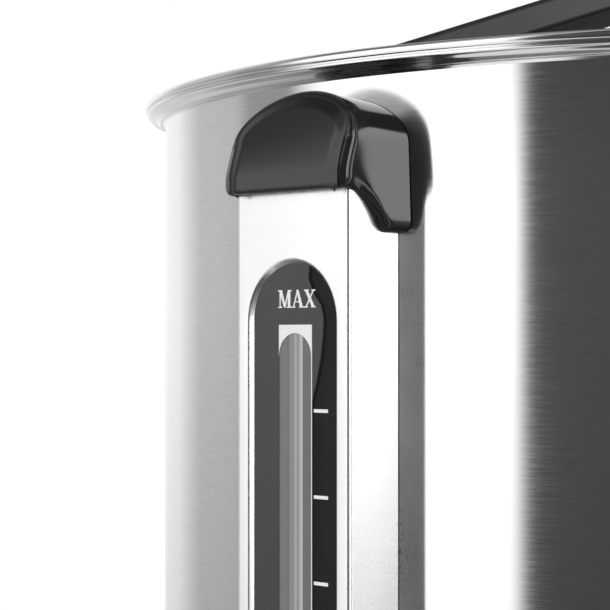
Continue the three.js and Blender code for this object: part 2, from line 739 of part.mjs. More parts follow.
add("vessel", vessel(), finish.brushed);
add("base_housing", baseHousing(), finish.satin);
add("fascia_plate", fasciaPlate(), finish.brushed);
add("bottom_plate", bottomPlate(), finish.aluminium);
FEET.forEach(([x, y], i) => add(`foot_${i + 1}`, rubberFoot().translate([x, y, 0]), finish.rubber));
TIES.forEach(([x, y], i) => add(`tie_bolt_${i + 1}`, tieBolt().translate([x, y, 0]), finish.aluminium));
add("heater_plate", heaterPlate(), finish.aluminium);
add("heating_element", heatingElement(), finish.aluminium);
add("dry_boil_cutout", dryBoilCutout(), finish.satin);
add("thermostat_body", thermostatBody(), finish.aluminium);
add("thermostat_capillary", capillary(), finish.brass);
add("thermostat_shaft", thermostatShaft(), finish.aluminium);
add("thermostat_knob", thermostatKnob(), finish.gloss);
add("switch_frame", switchFrame(), finish.satin);
add("switch_rocker", switchRocker(), finish.red);
LAMPS.forEach(({ name, z, look }) => add(name, lampLens().translate([0, 0, z]), finish[look]));
add("mains_inlet", mainsInlet(), finish.satin);
inletPins().forEach((place, i) => add(`inlet_pin_${i + 1}`, inletPin(place), finish.brass));
add("terminal_block", terminalBlock(), finish.silicone);
LEADS.forEach((wire) => add(wire.name, lead(wire), wire.look));

add("gauge_cover", gaugeCover(), finish.brushed);
add("gauge_face", gaugeFace(), finish.gloss);
add("gauge_lens", gaugeLens(), finish.glass);
add("sight_tube", sightTube(), finish.glass);
add("tube_seal_top", tubeSealTop(), finish.silicone);
add("tube_seal_bottom", tubeSealBottom(), finish.silicone);
add("gauge_hood", gaugeHood(), finish.gloss);
add("gauge_foot", gaugeFoot(), finish.gloss);

add("tap_tee", tapTee(), finish.polished);
add("tap_washer_outer", outerWasher(), finish.silicone);
add("tap_washer_inner", innerWasher(), finish.silicone);
add("tap_nut", tapNut(), finish.polished);
add("tap_body", tapBody(), finish.gloss);
add("tap_bonnet", tapBonnet(), finish.gloss);
add("tap_spring", tapSpring(), finish.polished);
add("valve_stem", valveStem(), finish.polished);
add("valve_cup", seatCup(), finish.silicone);
add("lever_pin", leverPin(), finish.polished);
add("tap_lever", tapLever(), finish.gloss);

add("lid", lid(), finish.brushed);
add("lid_handle", lidHandle(), finish.gloss);
[-1, 1].forEach((side, i) => add(`lid_screw_${i + 1}`, lidScrew(side), finish.polished));

[["left", -1], ["right", 1]].forEach(([word, side]) => {
  add(`handle_${word}`, sideHandle(side), finish.satin);
});
screwPlaces().forEach((place, i) => add(`handle_screw_${i + 1}`, handleScrew(place), finish.polished));

const part = new THREE.Group();
part.add(kettle);

export default part;
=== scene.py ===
"""Looks for the brew kettle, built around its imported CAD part. Lengths in this file are millimetres."""

import json
import math

import bmesh
import bpy
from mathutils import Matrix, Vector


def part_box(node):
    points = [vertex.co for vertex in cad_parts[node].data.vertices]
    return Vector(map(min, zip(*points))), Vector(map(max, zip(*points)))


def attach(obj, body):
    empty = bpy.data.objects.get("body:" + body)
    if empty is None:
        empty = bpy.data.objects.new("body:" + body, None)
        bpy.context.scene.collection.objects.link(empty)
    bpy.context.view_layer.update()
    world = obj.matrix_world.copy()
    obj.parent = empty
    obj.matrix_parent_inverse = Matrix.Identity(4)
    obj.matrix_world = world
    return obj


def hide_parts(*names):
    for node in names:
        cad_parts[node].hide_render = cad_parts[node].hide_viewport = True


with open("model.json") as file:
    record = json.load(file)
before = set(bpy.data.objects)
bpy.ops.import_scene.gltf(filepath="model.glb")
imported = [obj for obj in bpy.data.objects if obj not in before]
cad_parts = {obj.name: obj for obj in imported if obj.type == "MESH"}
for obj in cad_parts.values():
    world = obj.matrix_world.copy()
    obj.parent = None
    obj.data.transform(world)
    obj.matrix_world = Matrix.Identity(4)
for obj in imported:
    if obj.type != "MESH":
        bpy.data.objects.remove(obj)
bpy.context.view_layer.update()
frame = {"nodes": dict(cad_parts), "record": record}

# ---------- sizes taken from the CAD nodes ----------


def mm_box(node):
    low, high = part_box(node)
    return [v * 1000 for v in low], [v * 1000 for v in high]


def mm_middle(node):
    low, high = mm_box(node)
    return [(a + b) / 2 for a, b in zip(low, high)]


VESSEL_LOW, VESSEL_HIGH = mm_box("vessel")
COVER_LOW, COVER_HIGH = mm_box("gauge_cover")
FACE_LOW, FACE_HIGH = mm_box("gauge_face")
HOOD_LOW, HOOD_HIGH = mm_box("gauge_hood")
FOOT_LOW, FOOT_HIGH = mm_box("gauge_foot")
TUBE_LOW, TUBE_HIGH = mm_box("sight_tube")
LID_LOW, LID_HIGH = mm_box("lid")
STRAP_CREST = mm_box("lid_handle")[1][2]
BASE_LOW, BASE_HIGH = mm_box("base_housing")
KNOB_LOW, KNOB_HIGH = mm_box("thermostat_knob")
TAP_LOW, TAP_HIGH = mm_box("tap_body")
BONNET_LOW, BONNET_HIGH = mm_box("tap_bonnet")
PLATE_LOW, PLATE_HIGH = mm_box("fascia_plate")

AXIS_Y = (VESSEL_LOW[1] + VESSEL_HIGH[1]) / 2
RIM_Z = VESSEL_HIGH[2]
SLOT_HALF = 5.6
SLOT_HIGH = RIM_Z - 69.9
SLOT_LOW = 168.0
RIM_R = VESSEL_HIGH[0]
WALL_R = RIM_R - 6
BORE_R = WALL_R - 1
FLOOR_Z = VESSEL_LOW[2] + 1.2
LITRE_MM = 1e6 / (math.pi * BORE_R ** 2)
MAX_Z = FLOOR_Z + 30 * LITRE_MM - 0.4

BEHAVIOUR = frame["record"]["behaviour"]
BODY = {node: body for body, nodes in BEHAVIOUR["bodies"].items() for node in nodes}
HINGES = [joint for joint in BEHAVIOUR["joints"] if joint["type"] == "hinge"]
PIVOT = {joint["name"]: [v * 1000 for v in joint["pos_m"]] for joint in HINGES}

# ---------- camera ----------

camera = bpy.data.objects.new("camera", bpy.data.cameras.new("camera"))
bpy.context.scene.collection.objects.link(camera)
camera.location = (0.3591, -0.5457 + AXIS_Y / 1000, (RIM_Z - 71.9) / 1000)
camera.rotation_euler = (math.radians(90), 0, math.radians(45))
camera.data.lens = 121.16
camera.data.shift_y = 0.0597
camera.data.clip_start = 0.02
bpy.context.scene.camera = camera

# ---------- materials ----------


class Tree:
    """A node tree, with short ways to add and join nodes."""

    def __init__(self, tree):
        self.tree = tree

    def add(self, kind, **settings):
        node = self.tree.nodes.new(kind)
        for key, value in settings.items():
            setattr(node, key, value)
        return node

    def join(self, source, target):
        self.tree.links.new(source, target)

    def math(self, operation, a, b=None, c=None):
        node = self.add("ShaderNodeMath", operation=operation)
        for socket, value in zip(node.inputs, (a, b, c)):
            if value is None:
                continue
            if isinstance(value, (int, float)):
                socket.default_value = value
            else:
                self.join(value, socket)
        return node.outputs[0]

    def ramp(self, factor, stops):
        """A ramp through (place, grey level) stops."""
        node = self.add("ShaderNodeValToRGB")
        self.join(factor, node.inputs["Fac"])
        elements = node.color_ramp.elements
        while len(elements) < len(stops):
            elements.new(0.5)
        for element, (place, value) in zip(elements, stops):
            element.position = place
            element.color = (value, value, value, 1)
        return node.outputs["Color"]


class Nodes(Tree):
    """A new material, with short ways to make its textures and feed its shader."""

    def __init__(self, name):
        self.material = bpy.data.materials.new(name)
        self.material.use_nodes = True
        super().__init__(self.material.node_tree)
        self.shader = self.tree.nodes["Principled BSDF"]

    def set(self, **values):
        for key, value in values.items():
            self.shader.inputs[key.replace("_", " ")].default_value = value

    def feed(self, name, source):
        self.join(source, self.shader.inputs[name])

    def coordinates(self):
        return self.add("ShaderNodeTexCoord").outputs["Object"]

    def noise(self, vector, scale, detail=3.0, roughness=0.5):
        node = self.add("ShaderNodeTexNoise")
        self.join(vector, node.inputs["Vector"])
        node.inputs["Scale"].default_value = scale
        node.inputs["Detail"].default_value = detail
        node.inputs["Roughness"].default_value = roughness
        return node.outputs["Fac"]

    def scaled(self, factor, low, high):
        """A noise's usual range, 0.25 to 0.75, stretched to run from low to high."""
        node = self.add("ShaderNodeMapRange")
        self.join(factor, node.inputs["Value"])
        node.inputs["From Min"].default_value = 0.25
        node.inputs["From Max"].default_value = 0.75
        node.inputs["To Min"].default_value = low
        node.inputs["To Max"].default_value = high
        return node.outputs["Result"]

    def tinted(self, factor, dark, light):
        node = self.add("ShaderNodeMix", data_type="RGBA")
        self.join(factor, node.inputs["Factor"])
        node.inputs["A"].default_value = (*dark, 1)
        node.inputs["B"].default_value = (*light, 1)
        return node.outputs["Result"]

    def bump(self, height, distance_mm, strength):
        node = self.add("ShaderNodeBump")
        node.inputs["Strength"].default_value = strength
        node.inputs["Distance"].default_value = distance_mm / 1000
        self.join(height, node.inputs["Height"])
        self.feed("Normal", node.outputs["Normal"])


def round_axis(nodes, along, across):
    """Coordinates that run long round the vessel's axis and short across it, for turned or brushed lines."""
    place = nodes.add("ShaderNodeVectorMath", operation="SUBTRACT")
    nodes.join(nodes.coordinates(), place.inputs[0])
    place.inputs[1].default_value = (0, AXIS_Y / 1000, 0)
    parts = nodes.add("ShaderNodeSeparateXYZ")
    nodes.join(place.outputs[0], parts.inputs[0])
    flat = nodes.add("ShaderNodeCombineXYZ")
    nodes.join(parts.outputs["X"], flat.inputs["X"])
    nodes.join(parts.outputs["Y"], flat.inputs["Y"])
    length = nodes.add("ShaderNodeVectorMath", operation="LENGTH")
    nodes.join(flat.outputs[0], length.inputs[0])
    unit = nodes.add("ShaderNodeVectorMath", operation="NORMALIZE")
    nodes.join(flat.outputs[0], unit.inputs[0])
    unit_parts = nodes.add("ShaderNodeSeparateXYZ")
    nodes.join(unit.outputs[0], unit_parts.inputs[0])
    spread = nodes.math("ADD", parts.outputs["Z"], length.outputs["Value"])
    joined = nodes.add("ShaderNodeCombineXYZ")
    nodes.join(nodes.math("MULTIPLY", unit_parts.outputs["X"], along), joined.inputs["X"])
    nodes.join(nodes.math("MULTIPLY", unit_parts.outputs["Y"], along), joined.inputs["Y"])
    nodes.join(nodes.math("MULTIPLY", spread, across), joined.inputs["Z"])
    return joined.outputs[0]


def brushed_round(name, tone=0.80, rough=(0.20, 0.30), anisotropy=0.8, grain=0.004, change=0.02):
    """Stainless sheet with short fine lines round the vessel."""
    nodes = Nodes(name)
    fine = nodes.noise(round_axis(nodes, 24.0, 2600), 1.0, 3.0, 0.6)
    soft = nodes.noise(nodes.coordinates(), 9.0, 2.0)
    nodes.set(Metallic=1.0, Anisotropic=anisotropy, Anisotropic_Rotation=0.25)
    light = (tone + change, tone + change, tone + change + 0.005)
    nodes.feed("Base Color", nodes.tinted(nodes.scaled(fine, 0, 1), (tone - change,) * 3, light))
    roughness = nodes.math("ADD", nodes.scaled(fine, *rough), nodes.scaled(soft, -0.02, 0.03))
    nodes.feed("Roughness", roughness)
    nodes.bump(fine, grain, 0.5)
    tangent = nodes.add("ShaderNodeTangent", direction_type="RADIAL", axis="Z")
    nodes.feed("Tangent", tangent.outputs[0])
    return nodes.material


def satin_sheet(name, tone=0.82, stretch=(1, 1, 1), rough=(0.26, 0.36), lines=0.01):
    """Stainless sheet with a fine short grain."""
    nodes = Nodes(name)
    mapping = nodes.add("ShaderNodeMapping")
    nodes.join(nodes.coordinates(), mapping.inputs["Vector"])
    mapping.inputs["Scale"].default_value = stretch
    fine = nodes.noise(mapping.outputs[0], 1500.0, 2.0)
    cloud = nodes.noise(nodes.coordinates(), 40.0, 3.0)
    nodes.set(Metallic=1.0)
    nodes.feed("Base Color", nodes.tinted(nodes.scaled(fine, 0, 1), (tone - 0.03,) * 3, (tone + 0.03,) * 3))
    nodes.feed("Roughness", nodes.math("ADD", nodes.scaled(fine, *rough), nodes.scaled(cloud, -0.02, 0.03)))
    nodes.bump(fine, lines, 0.5)
    return nodes.material


def polished(name, tone=0.83, rough=0.09):
    """Bright metal with faint polishing lines and handling marks."""
    nodes = Nodes(name)
    lines = nodes.noise(round_axis(nodes, 6.0, 1500), 1.0, 2.0)
    marks = nodes.noise(nodes.coordinates(), 60.0, 4.0)
    nodes.set(Metallic=1.0)
    nodes.feed("Base Color", nodes.tinted(nodes.scaled(marks, 0, 1), (tone - 0.03,) * 3, (tone + 0.02,) * 3))
    roughness = nodes.math("ADD", nodes.scaled(lines, rough, rough + 0.06), nodes.scaled(marks, -0.02, 0.03))
    nodes.feed("Roughness", roughness)
    nodes.bump(lines, 0.006, 0.5)
    return nodes.material


def metal(name, color, rough=(0.35, 0.5)):
    """Bare metal as it comes from the mill, with cloudy patches."""
    nodes = Nodes(name)
    fine = nodes.noise(nodes.coordinates(), 900.0, 3.0)
    cloud = nodes.noise(nodes.coordinates(), 50.0, 3.0)
    nodes.set(Metallic=1.0)
    dark = tuple(c * 0.82 for c in color)
    nodes.feed("Base Color", nodes.tinted(nodes.scaled(cloud, 0, 1), dark, color))
    nodes.feed("Roughness", nodes.scaled(fine, *rough))
    nodes.bump(fine, 0.02, 0.5)
    return nodes.material


def moulded(name, color, rough, grain=700.0, depth=0.004):
    """Moulded plastic: a fine surface texture, faint smears in its gloss, and a slight change of colour."""
    nodes = Nodes(name)
    fine = nodes.noise(nodes.coordinates(), grain, 2.0)
    smear = nodes.noise(nodes.coordinates(), 35.0, 4.0, 0.6)
    light = tuple(c * 1.25 + 0.002 for c in color)
    nodes.feed("Base Color", nodes.tinted(nodes.scaled(smear, 0, 1), color, light))
    nodes.feed("Roughness", nodes.scaled(smear, *rough))
    nodes.bump(fine, depth, 0.6)
    return nodes.material


def painted_reflection_face(name):
    """The gauge's gloss black face with a painted reflection: full gloss on its left side, almost none in a band
    past a curved line on its right side, and a little beyond it, which paints the dark reflection there.
    """
    nodes = Nodes(name)
    parts = nodes.add("ShaderNodeSeparateXYZ")
    nodes.join(nodes.coordinates(), parts.inputs[0])
    low, high = SLOT_HIGH - 30, SLOT_HIGH + 17
    height = nodes.add("ShaderNodeMapRange")
    nodes.join(parts.outputs["Z"], height.inputs["Value"])
    height.inputs["From Min"].default_value = low / 1000
    height.inputs["From Max"].default_value = high / 1000
    # The curved line, as (height, across) stops in mm, past which the gloss is lowered to paint a dark
    # reflection.
    edge = [(355, 5.8), (366, 6.0), (369.5, 6.8), (373.2, 8.0), (378.8, 9.4), (384.4, 10.2), (388.6, 10.5),
            (391.9, 9.6), (395, 6.9), (398.4, 5.3), (401.2, 5.6)]
    curve = nodes.ramp(height.outputs["Result"], [((z - low) / (high - low), x / 20) for z, x in edge])
    past = nodes.math("SUBTRACT", parts.outputs["X"], nodes.math("MULTIPLY", curve, 0.02))
    away = nodes.math("MULTIPLY_ADD", past, 100.0, 0.5)
    # Painted reflection: the gloss drops from full to almost none just past the line, then rises a little.
    gloss = nodes.ramp(away, [(0.0, 1.0), (0.42, 0.96), (0.46, 0.02), (0.53, 0.02), (0.58, 0.14), (1.0, 0.2)])
    nodes.feed("Specular IOR Level", nodes.math("MULTIPLY", gloss, 0.5))
    fine = nodes.noise(nodes.coordinates(), 300.0, 2.0)
    smear = nodes.noise(nodes.coordinates(), 35.0, 4.0, 0.6)
    dark, light = (0.008, 0.008, 0.009), (0.012, 0.012, 0.013)
    nodes.feed("Base Color", nodes.tinted(nodes.scaled(smear, 0, 1), dark, light))
    nodes.feed("Roughness", nodes.scaled(smear, 0.03, 0.08))
    nodes.bump(fine, 0.002, 0.6)
    return nodes.material


def tube_painted_reflections(name, see_through):
    """Clear plastic, only partly see-through, with painted reflections: light and dark streaks along its length,
    set by the place across its width.
    """
    nodes = Nodes(name)
    parts = nodes.add("ShaderNodeSeparateXYZ")
    nodes.join(nodes.coordinates(), parts.inputs[0])
    across = nodes.add("ShaderNodeMapRange")
    nodes.join(parts.outputs["X"], across.inputs["Value"])
    across.inputs["From Min"].default_value = -0.0056
    across.inputs["From Max"].default_value = 0.0056
    mapping = nodes.add("ShaderNodeMapping")
    nodes.join(nodes.coordinates(), mapping.inputs["Vector"])
    mapping.inputs["Scale"].default_value = (1, 1, 0.004)
    lines = nodes.noise(mapping.outputs[0], 900.0, 2.0)
    # Painted reflections: light and dark streaks set by the place across the width.
    painted_reflection_streaks = nodes.ramp(across.outputs["Result"],
                       [(0.0, 0.19), (0.25, 0.21), (0.29, 0.13), (0.32, 0.29), (0.46, 0.31), (0.50, 0.50),
                        (0.54, 0.48), (0.58, 0.34), (0.62, 0.36), (0.65, 0.62), (0.72, 0.60), (0.75, 0.14),
                        (0.80, 0.17), (1.0, 0.15)])
    mix = nodes.add("ShaderNodeMix", data_type="RGBA", blend_type="MULTIPLY")
    mix.inputs["Factor"].default_value = 0.35
    nodes.join(painted_reflection_streaks, mix.inputs["A"])
    nodes.join(lines, mix.inputs["B"])
    nodes.feed("Base Color", mix.outputs["Result"])
    nodes.feed("Roughness", nodes.scaled(lines, 0.12, 0.3))
    nodes.set(Transmission_Weight=see_through, IOR=1.49)
    return nodes.material


def paint(name, color):
    """Printed ink."""
    nodes = Nodes(name)
    fine = nodes.noise(nodes.coordinates(), 2500.0, 2.0)
    nodes.feed("Base Color", nodes.tinted(nodes.scaled(fine, 0, 1), tuple(c * 0.92 for c in color), color))
    nodes.feed("Roughness", nodes.scaled(fine, 0.35, 0.5))
    return nodes.material


LOOKS = {
    "wall": brushed_round("wall_brushed", 0.80, (0.10, 0.15), 0.85, 0.003, 0.045),
    "inside": brushed_round("inside_brushed", 0.74, (0.26, 0.4), 0.6, 0.01),
    "lid": brushed_round("lid_brushed", 0.80, (0.16, 0.28), 0.7, 0.006),
    "rim": polished("rim_polished"),
    "cover": satin_sheet("cover_satin"),
    "fascia": satin_sheet("fascia_brushed", 0.72, (0.03, 1, 1), (0.26, 0.4), 0.02),
    "bright": polished("fittings_polished", 0.80, 0.14),
    "gloss_black": moulded("plastic_gloss_black", (0.009, 0.009, 0.010), (0.05, 0.09)),
    # The gauge face's gloss carries a painted reflection.
    "face_black": painted_reflection_face("gauge_black_painted_reflection"),
    "satin_black": moulded("plastic_satin_black", (0.018, 0.018, 0.019), (0.36, 0.48), 1100.0, 0.03),
    "handle_black": moulded("plastic_handle_black", (0.011, 0.011, 0.012), (0.34, 0.44), 900.0, 0.015),
    # The tube and the lens both carry painted reflection streaks.
    "tube": tube_painted_reflections("tube_clear", 0.25),
    "lens": tube_painted_reflections("lens_clear", 0.1),
    "silicone": moulded("silicone_white", (0.75, 0.75, 0.72), (0.5, 0.65), 400.0, 0.01),
    "rubber": moulded("rubber_black", (0.02, 0.02, 0.02), (0.7, 0.85), 500.0, 0.06),
    "aluminium": metal("aluminium_bare", (0.66, 0.67, 0.68)),
    "sheath": metal("heater_sheath_steel", (0.36, 0.33, 0.31), (0.4, 0.6)),
    "brass": metal("brass_bare", (0.72, 0.56, 0.28), (0.25, 0.4)),
    "rocker_red": moulded("rocker_red_plastic", (0.50, 0.02, 0.012), (0.12, 0.2)),
    "lamp_red": moulded("lamp_red_plastic", (0.55, 0.02, 0.01), (0.06, 0.12)),
    "lamp_green": moulded("lamp_green_plastic", (0.03, 0.36, 0.07), (0.06, 0.12)),
    "terminal": moulded("terminal_plastic", (0.8, 0.78, 0.72), (0.4, 0.5)),
    "wire_brown": moulded("wire_brown_sleeve", (0.16, 0.06, 0.03), (0.4, 0.5)),
    "wire_green": moulded("wire_green_sleeve", (0.05, 0.30, 0.08), (0.4, 0.5)),
    "wire_blue": moulded("wire_blue_sleeve", (0.03, 0.09, 0.38), (0.4, 0.5)),
    "print_white": paint("print_white", (0.9, 0.9, 0.89)),
    "print_grey": paint("print_grey", (0.05, 0.05, 0.052)),
}

# ---------- shapes ----------


def smoothstep(t):
    t = min(max(t, 0.0), 1.0)
    return t * t * (3 - 2 * t)


def lerp(a, b, t):
    return a + (b - a) * t


def spaced(low, high, count):
    return [lerp(low, high, i / count) for i in range(count + 1)]


def arc(cx, cy, r, start, end, count):
    angles = [math.radians(a) for a in spaced(start, end, count)]
    return [(cx + r * math.cos(a), cy + r * math.sin(a)) for a in angles]


def rounded(points, radius, steps=5, closed=True):
    """The polyline with each corner turned into a curve, as large as its sides allow up to radius."""
    made = []
    count = len(points)
    for i, corner in enumerate(points):
        r = radius[i] if isinstance(radius, (list, tuple)) else radius
        if (not closed and i in (0, count - 1)) or r <= 0:
            made.append(corner)
            continue
        before, after = points[i - 1], points[(i + 1) % count]
        ux, uy = before[0] - corner[0], before[1] - corner[1]
        vx, vy = after[0] - corner[0], after[1] - corner[1]
        lu, lv = math.hypot(ux, uy), math.hypot(vx, vy)
        ux, uy, vx, vy = ux / lu, uy / lu, vx / lv, vy / lv
        half = math.acos(max(-1, min(1, ux * vx + uy * vy))) / 2
        if half > math.radians(88):
            made.append(corner)
            continue
        reach = min(r / math.tan(half), 0.48 * lu, 0.48 * lv)
        for t in spaced(0, 1, steps):
            a, c = (1 - t) ** 2, t ** 2
            made.append((corner[0] + reach * (a * ux + c * vx), corner[1] + reach * (a * uy + c * vy)))
    return made


def new_object(name, verts, faces, weld=False):
    mesh = bpy.data.meshes.new(name)
    mesh.from_pydata([(x / 1000, y / 1000, z / 1000) for x, y, z in verts], [], faces)
    work = bmesh.new()
    work.from_mesh(mesh)
    if weld:
        bmesh.ops.remove_doubles(work, verts=work.verts, dist=2e-6)
    bmesh.ops.recalc_face_normals(work, faces=work.faces)
    work.to_mesh(mesh)
    work.free()
    obj = bpy.data.objects.new(name, mesh)
    bpy.context.scene.collection.objects.link(obj)
    return obj


def piece(name, verts, faces, look, node, replaces=(), sharp=32, face_looks=None):
    """A new mesh piece that rides with the CAD body of a node, and hides the CAD nodes it replaces."""
    obj = new_object(name, verts, faces, weld=True)
    mesh = obj.data
    for key in [look] if isinstance(look, str) else look:
        mesh.materials.append(LOOKS[key])
    if face_looks:
        for polygon in mesh.polygons:
            polygon.material_index = face_looks([c * 1000 for c in polygon.center], list(polygon.normal))
    smooth(obj, sharp)
    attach(obj, BODY[node])
    if replaces:
        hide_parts(*replaces)
    return obj


def smooth(obj, sharp):
    obj.data.shade_smooth()
    obj.data.set_sharp_from_angle(angle=math.radians(sharp))


def settle(obj, sharp=32):
    """Applies the piece's modifiers to its mesh."""
    seen = obj.evaluated_get(bpy.context.evaluated_depsgraph_get())
    made = bpy.data.meshes.new_from_object(seen)
    old = obj.data
    obj.modifiers.clear()
    obj.data = made
    made.name = old.name
    bpy.data.meshes.remove(old)
    smooth(obj, sharp)
    return obj


def bevelled(obj, width, steps, angle, sharp=40):
    """Rounds the edges sharper than the angle, and shades flat faces flat."""
    bevel = obj.modifiers.new("edges", "BEVEL")
    bevel.width = width / 1000
    bevel.segments = steps
    bevel.limit_method = "ANGLE"
    bevel.angle_limit = math.radians(angle)
    bevel.use_clamp_overlap = True
    settle(obj, sharp)
    weighted = obj.modifiers.new("flat_faces", "WEIGHTED_NORMAL")
    weighted.keep_sharp = True
    return obj


def thick(obj, depth, even=True):
    """Gives an open sheet a thickness, on the inside."""
    solid = obj.modifiers.new("thickness", "SOLIDIFY")
    solid.thickness = depth / 1000
    solid.offset = -1
    solid.use_even_offset = even
    return settle(obj)


def cut(obj, *tools):
    """Takes the tools' shapes out of a piece, and removes the tools."""
    for tool in tools:
        step = obj.modifiers.new("cut", "BOOLEAN")
        step.operation = "DIFFERENCE"
        step.solver = "EXACT"
        step.object = tool
    settle(obj)
    for tool in tools:
        bpy.data.objects.remove(tool, do_unlink=True)
    return obj


def cutter(verts, faces):
    return new_object("cutter", verts, faces)


def grid(rows, columns, wrap_rows=False, wrap_columns=False):
    """The faces between rows of vertices, closed round where asked."""
    faces = []
    for i in range(rows if wrap_rows else rows - 1):
        for j in range(columns if wrap_columns else columns - 1):
            k, m = (i + 1) % rows, (j + 1) % columns
            faces.append((i * columns + j, i * columns + m, k * columns + m, k * columns + j))
    return faces


def turned(profile, segments=96, closed=False, centre=(0.0, 0.0)):
    """The vertices and faces of a profile of (radius, height) turned about an upright axis."""
    verts = []
    for r, z in profile:
        for j in range(segments):
            a = 2 * math.pi * j / segments
            verts.append((centre[0] + r * math.cos(a), centre[1] + r * math.sin(a), z))
    return verts, grid(len(profile), segments, closed, True)


def laid_forward(verts, x, y, z):
    """Turns a shape made about +Z so that it points towards -Y from a place."""
    return [(vx + x, y - vz, vy + z) for vx, vy, vz in verts]


def prism(outline, place, low, high):
    """Vertices and faces of an outline between two depths; place(u, v, w) gives the point."""
    count = len(outline)
    verts = [place(u, v, low) for u, v in outline] + [place(u, v, high) for u, v in outline]
    faces = [tuple(range(count)), tuple(range(count, 2 * count))]
    faces += [(i, (i + 1) % count, count + (i + 1) % count, count + i) for i in range(count)]
    return verts, faces


def joined(*shapes):
    verts, faces = [], []
    for more_verts, more_faces in shapes:
        start = len(verts)
        verts += more_verts
        faces += [tuple(i + start for i in face) for face in more_faces]
    return verts, faces


def facing_front(u, v, w):
    return (u, w, v)


def upright(u, v, w):
    return (u, v, w)


def capped(verts, faces, count):
    """Closes the first and last rows of count vertices with a face each."""
    return verts, faces + [tuple(range(count)), tuple(range(len(verts) - count, len(verts)))]


def swept(section, path, normals):
    """A closed section carried along a level path; normals give its outward direction at each point."""
    verts = []
    for (px, py, pz), (nx, ny) in zip(path, normals):
        for u, v in section:
            verts.append((px + nx * u, py + ny * u, pz + v))
    return capped(verts, grid(len(path), len(section), False, True), len(section))


# ---------- vessel ----------

VESSEL_SEGMENTS = 288


def rim_profile():
    """From the wall out under the rolled rim, over its two beads and down to the bore."""

    def laid(points):
        return [(WALL_R + out, RIM_Z - down) for out, down in points]

    flare = laid([(0, 40), (0, 6.2), (0.1, 5.8), (0.45, 5.5), (1.1, 5.36), (1.45, 5.3)])
    step = laid([(1.5, 5.2), (1.75, 5.05), (2.05, 4.7), (2.6, 4.35), (3.3, 4.1), (4.3, 3.88), (5.05, 3.6),
                 (5.3, 3.25), (5.35, 3.0)])
    groove = laid([(5.2, 2.75), (5.0, 2.62), (5.05, 2.5), (5.35, 2.35)])
    bead = arc(WALL_R + 4.65, RIM_Z - 1.35, 1.35, -40, 172, 16)
    lead_in = [(RIM_R - 3.2, RIM_Z - 1.6), (BORE_R + 0.2, RIM_Z - 7.5), (BORE_R, RIM_Z - 40)]
    inside = rounded(lead_in, [0, 4, 0], 6, False)
    return flare, step + groove + bead, inside


def make_vessel():
    """The pot, turned from one profile: wall and floor outside, rim, and the inside down to the floor."""
    flare, roll, inside = rim_profile()
    corner = arc(WALL_R - 8, VESSEL_LOW[2] + 8, 8, -90, 0, 8)
    inner_corner = arc(BORE_R - 7, FLOOR_Z + 7, 7, 0, -90, 8)
    outer = [(0, VESSEL_LOW[2])] + [(r, VESSEL_LOW[2]) for r in (60, 120)] + corner
    walls = [(WALL_R, z) for z in spaced(VESSEL_LOW[2] + 20, RIM_Z - 45, 8)]
    bore = [(BORE_R, z) for z in spaced(RIM_Z - 45, FLOOR_Z + 20, 8)]
    floor = [(r, FLOOR_Z) for r in (140, 90, 40)] + [(0, FLOOR_Z)]
    profile = outer + walls + flare + roll + inside + bore + inner_corner + floor
    verts, faces = turned(profile, VESSEL_SEGMENTS, False, (0, AXIS_Y))

    def which(centre, normal):
        r = math.hypot(centre[0], centre[1] - AXIS_Y)
        if centre[2] > RIM_Z - 5.3:
            return 1
        outward = (centre[0] * normal[0] + (centre[1] - AXIS_Y) * normal[1]) / max(r, 1)
        return 0 if outward > 0.2 or normal[2] < -0.5 else 2

    looks = ["wall", "rim", "inside"]
    piece("vessel_shell", verts, faces, looks, "vessel", ["vessel"], sharp=50, face_looks=which)


# ---------- sight gauge ----------

COVER_HALF = COVER_HIGH[0]
COVER_Y = COVER_LOW[1]
WINDOW_HALF = 14.5
WINDOW_HIGH = RIM_Z - 52.6
WINDOW_LOW = 158.0


def wall_y(x, r=WALL_R + 0.3):
    return AXIS_Y - math.sqrt(r * r - x * x)


def ring_pairs(half, low, high, outer_half, outer_low, outer_high, square, sides=40, arcs=28):
    """Matching points round a round-ended slot and round the outline outside it, as (inner, outer) pairs."""
    cz_top, cz_low = high - half, low + half
    pairs = []

    def outer_at(angle, cz, end):
        dx, dz = math.cos(angle), math.sin(angle)
        if not square:
            ocz = outer_high - outer_half if end > 0 else outer_low + outer_half
            return (outer_half * dx, ocz + outer_half * dz)
        reach = []
        if abs(dx) > 1e-9:
            reach.append(outer_half / abs(dx))
        if abs(dz) > 1e-9:
            reach.append(((outer_high - cz) if end > 0 else (cz - outer_low)) / abs(dz))
        t = min(reach)
        return (dx * t, cz + dz * t)

    corner_top = math.atan2(outer_high - cz_top, outer_half)
    corner_low = math.atan2(cz_low - outer_low, outer_half)

    def angles(corner, turn):
        base = [math.pi * i / arcs for i in range(arcs + 1)]
        if square:
            base = sorted(base + [corner, math.pi - corner])
        return [turn + a for a in base]

    for a in angles(corner_top, 0):
        pairs.append(((half * math.cos(a), cz_top + half * math.sin(a)), outer_at(a, cz_top, 1)))
    if square:
        left = spaced(cz_top, cz_low, sides)[1:-1]
        pairs += [((-half, z), (-outer_half, z)) for z in left]
    else:
        for t in spaced(0, 1, sides)[1:-1]:
            pairs.append(((-half, lerp(cz_top, cz_low, t)),
                          (-outer_half, lerp(outer_high - outer_half, outer_low + outer_half, t))))
    for a in angles(corner_low, math.pi):
        pairs.append(((half * math.cos(a), cz_low + half * math.sin(a)), outer_at(a, cz_low, -1)))
    if square:
        pairs += [((half, z), (outer_half, z)) for z in reversed(left)]
    else:
        for t in spaced(1, 0, sides)[1:-1]:
            pairs.append(((half, lerp(cz_top, cz_low, t)),
                          (outer_half, lerp(outer_high - outer_half, outer_low + outer_half, t))))
    return pairs


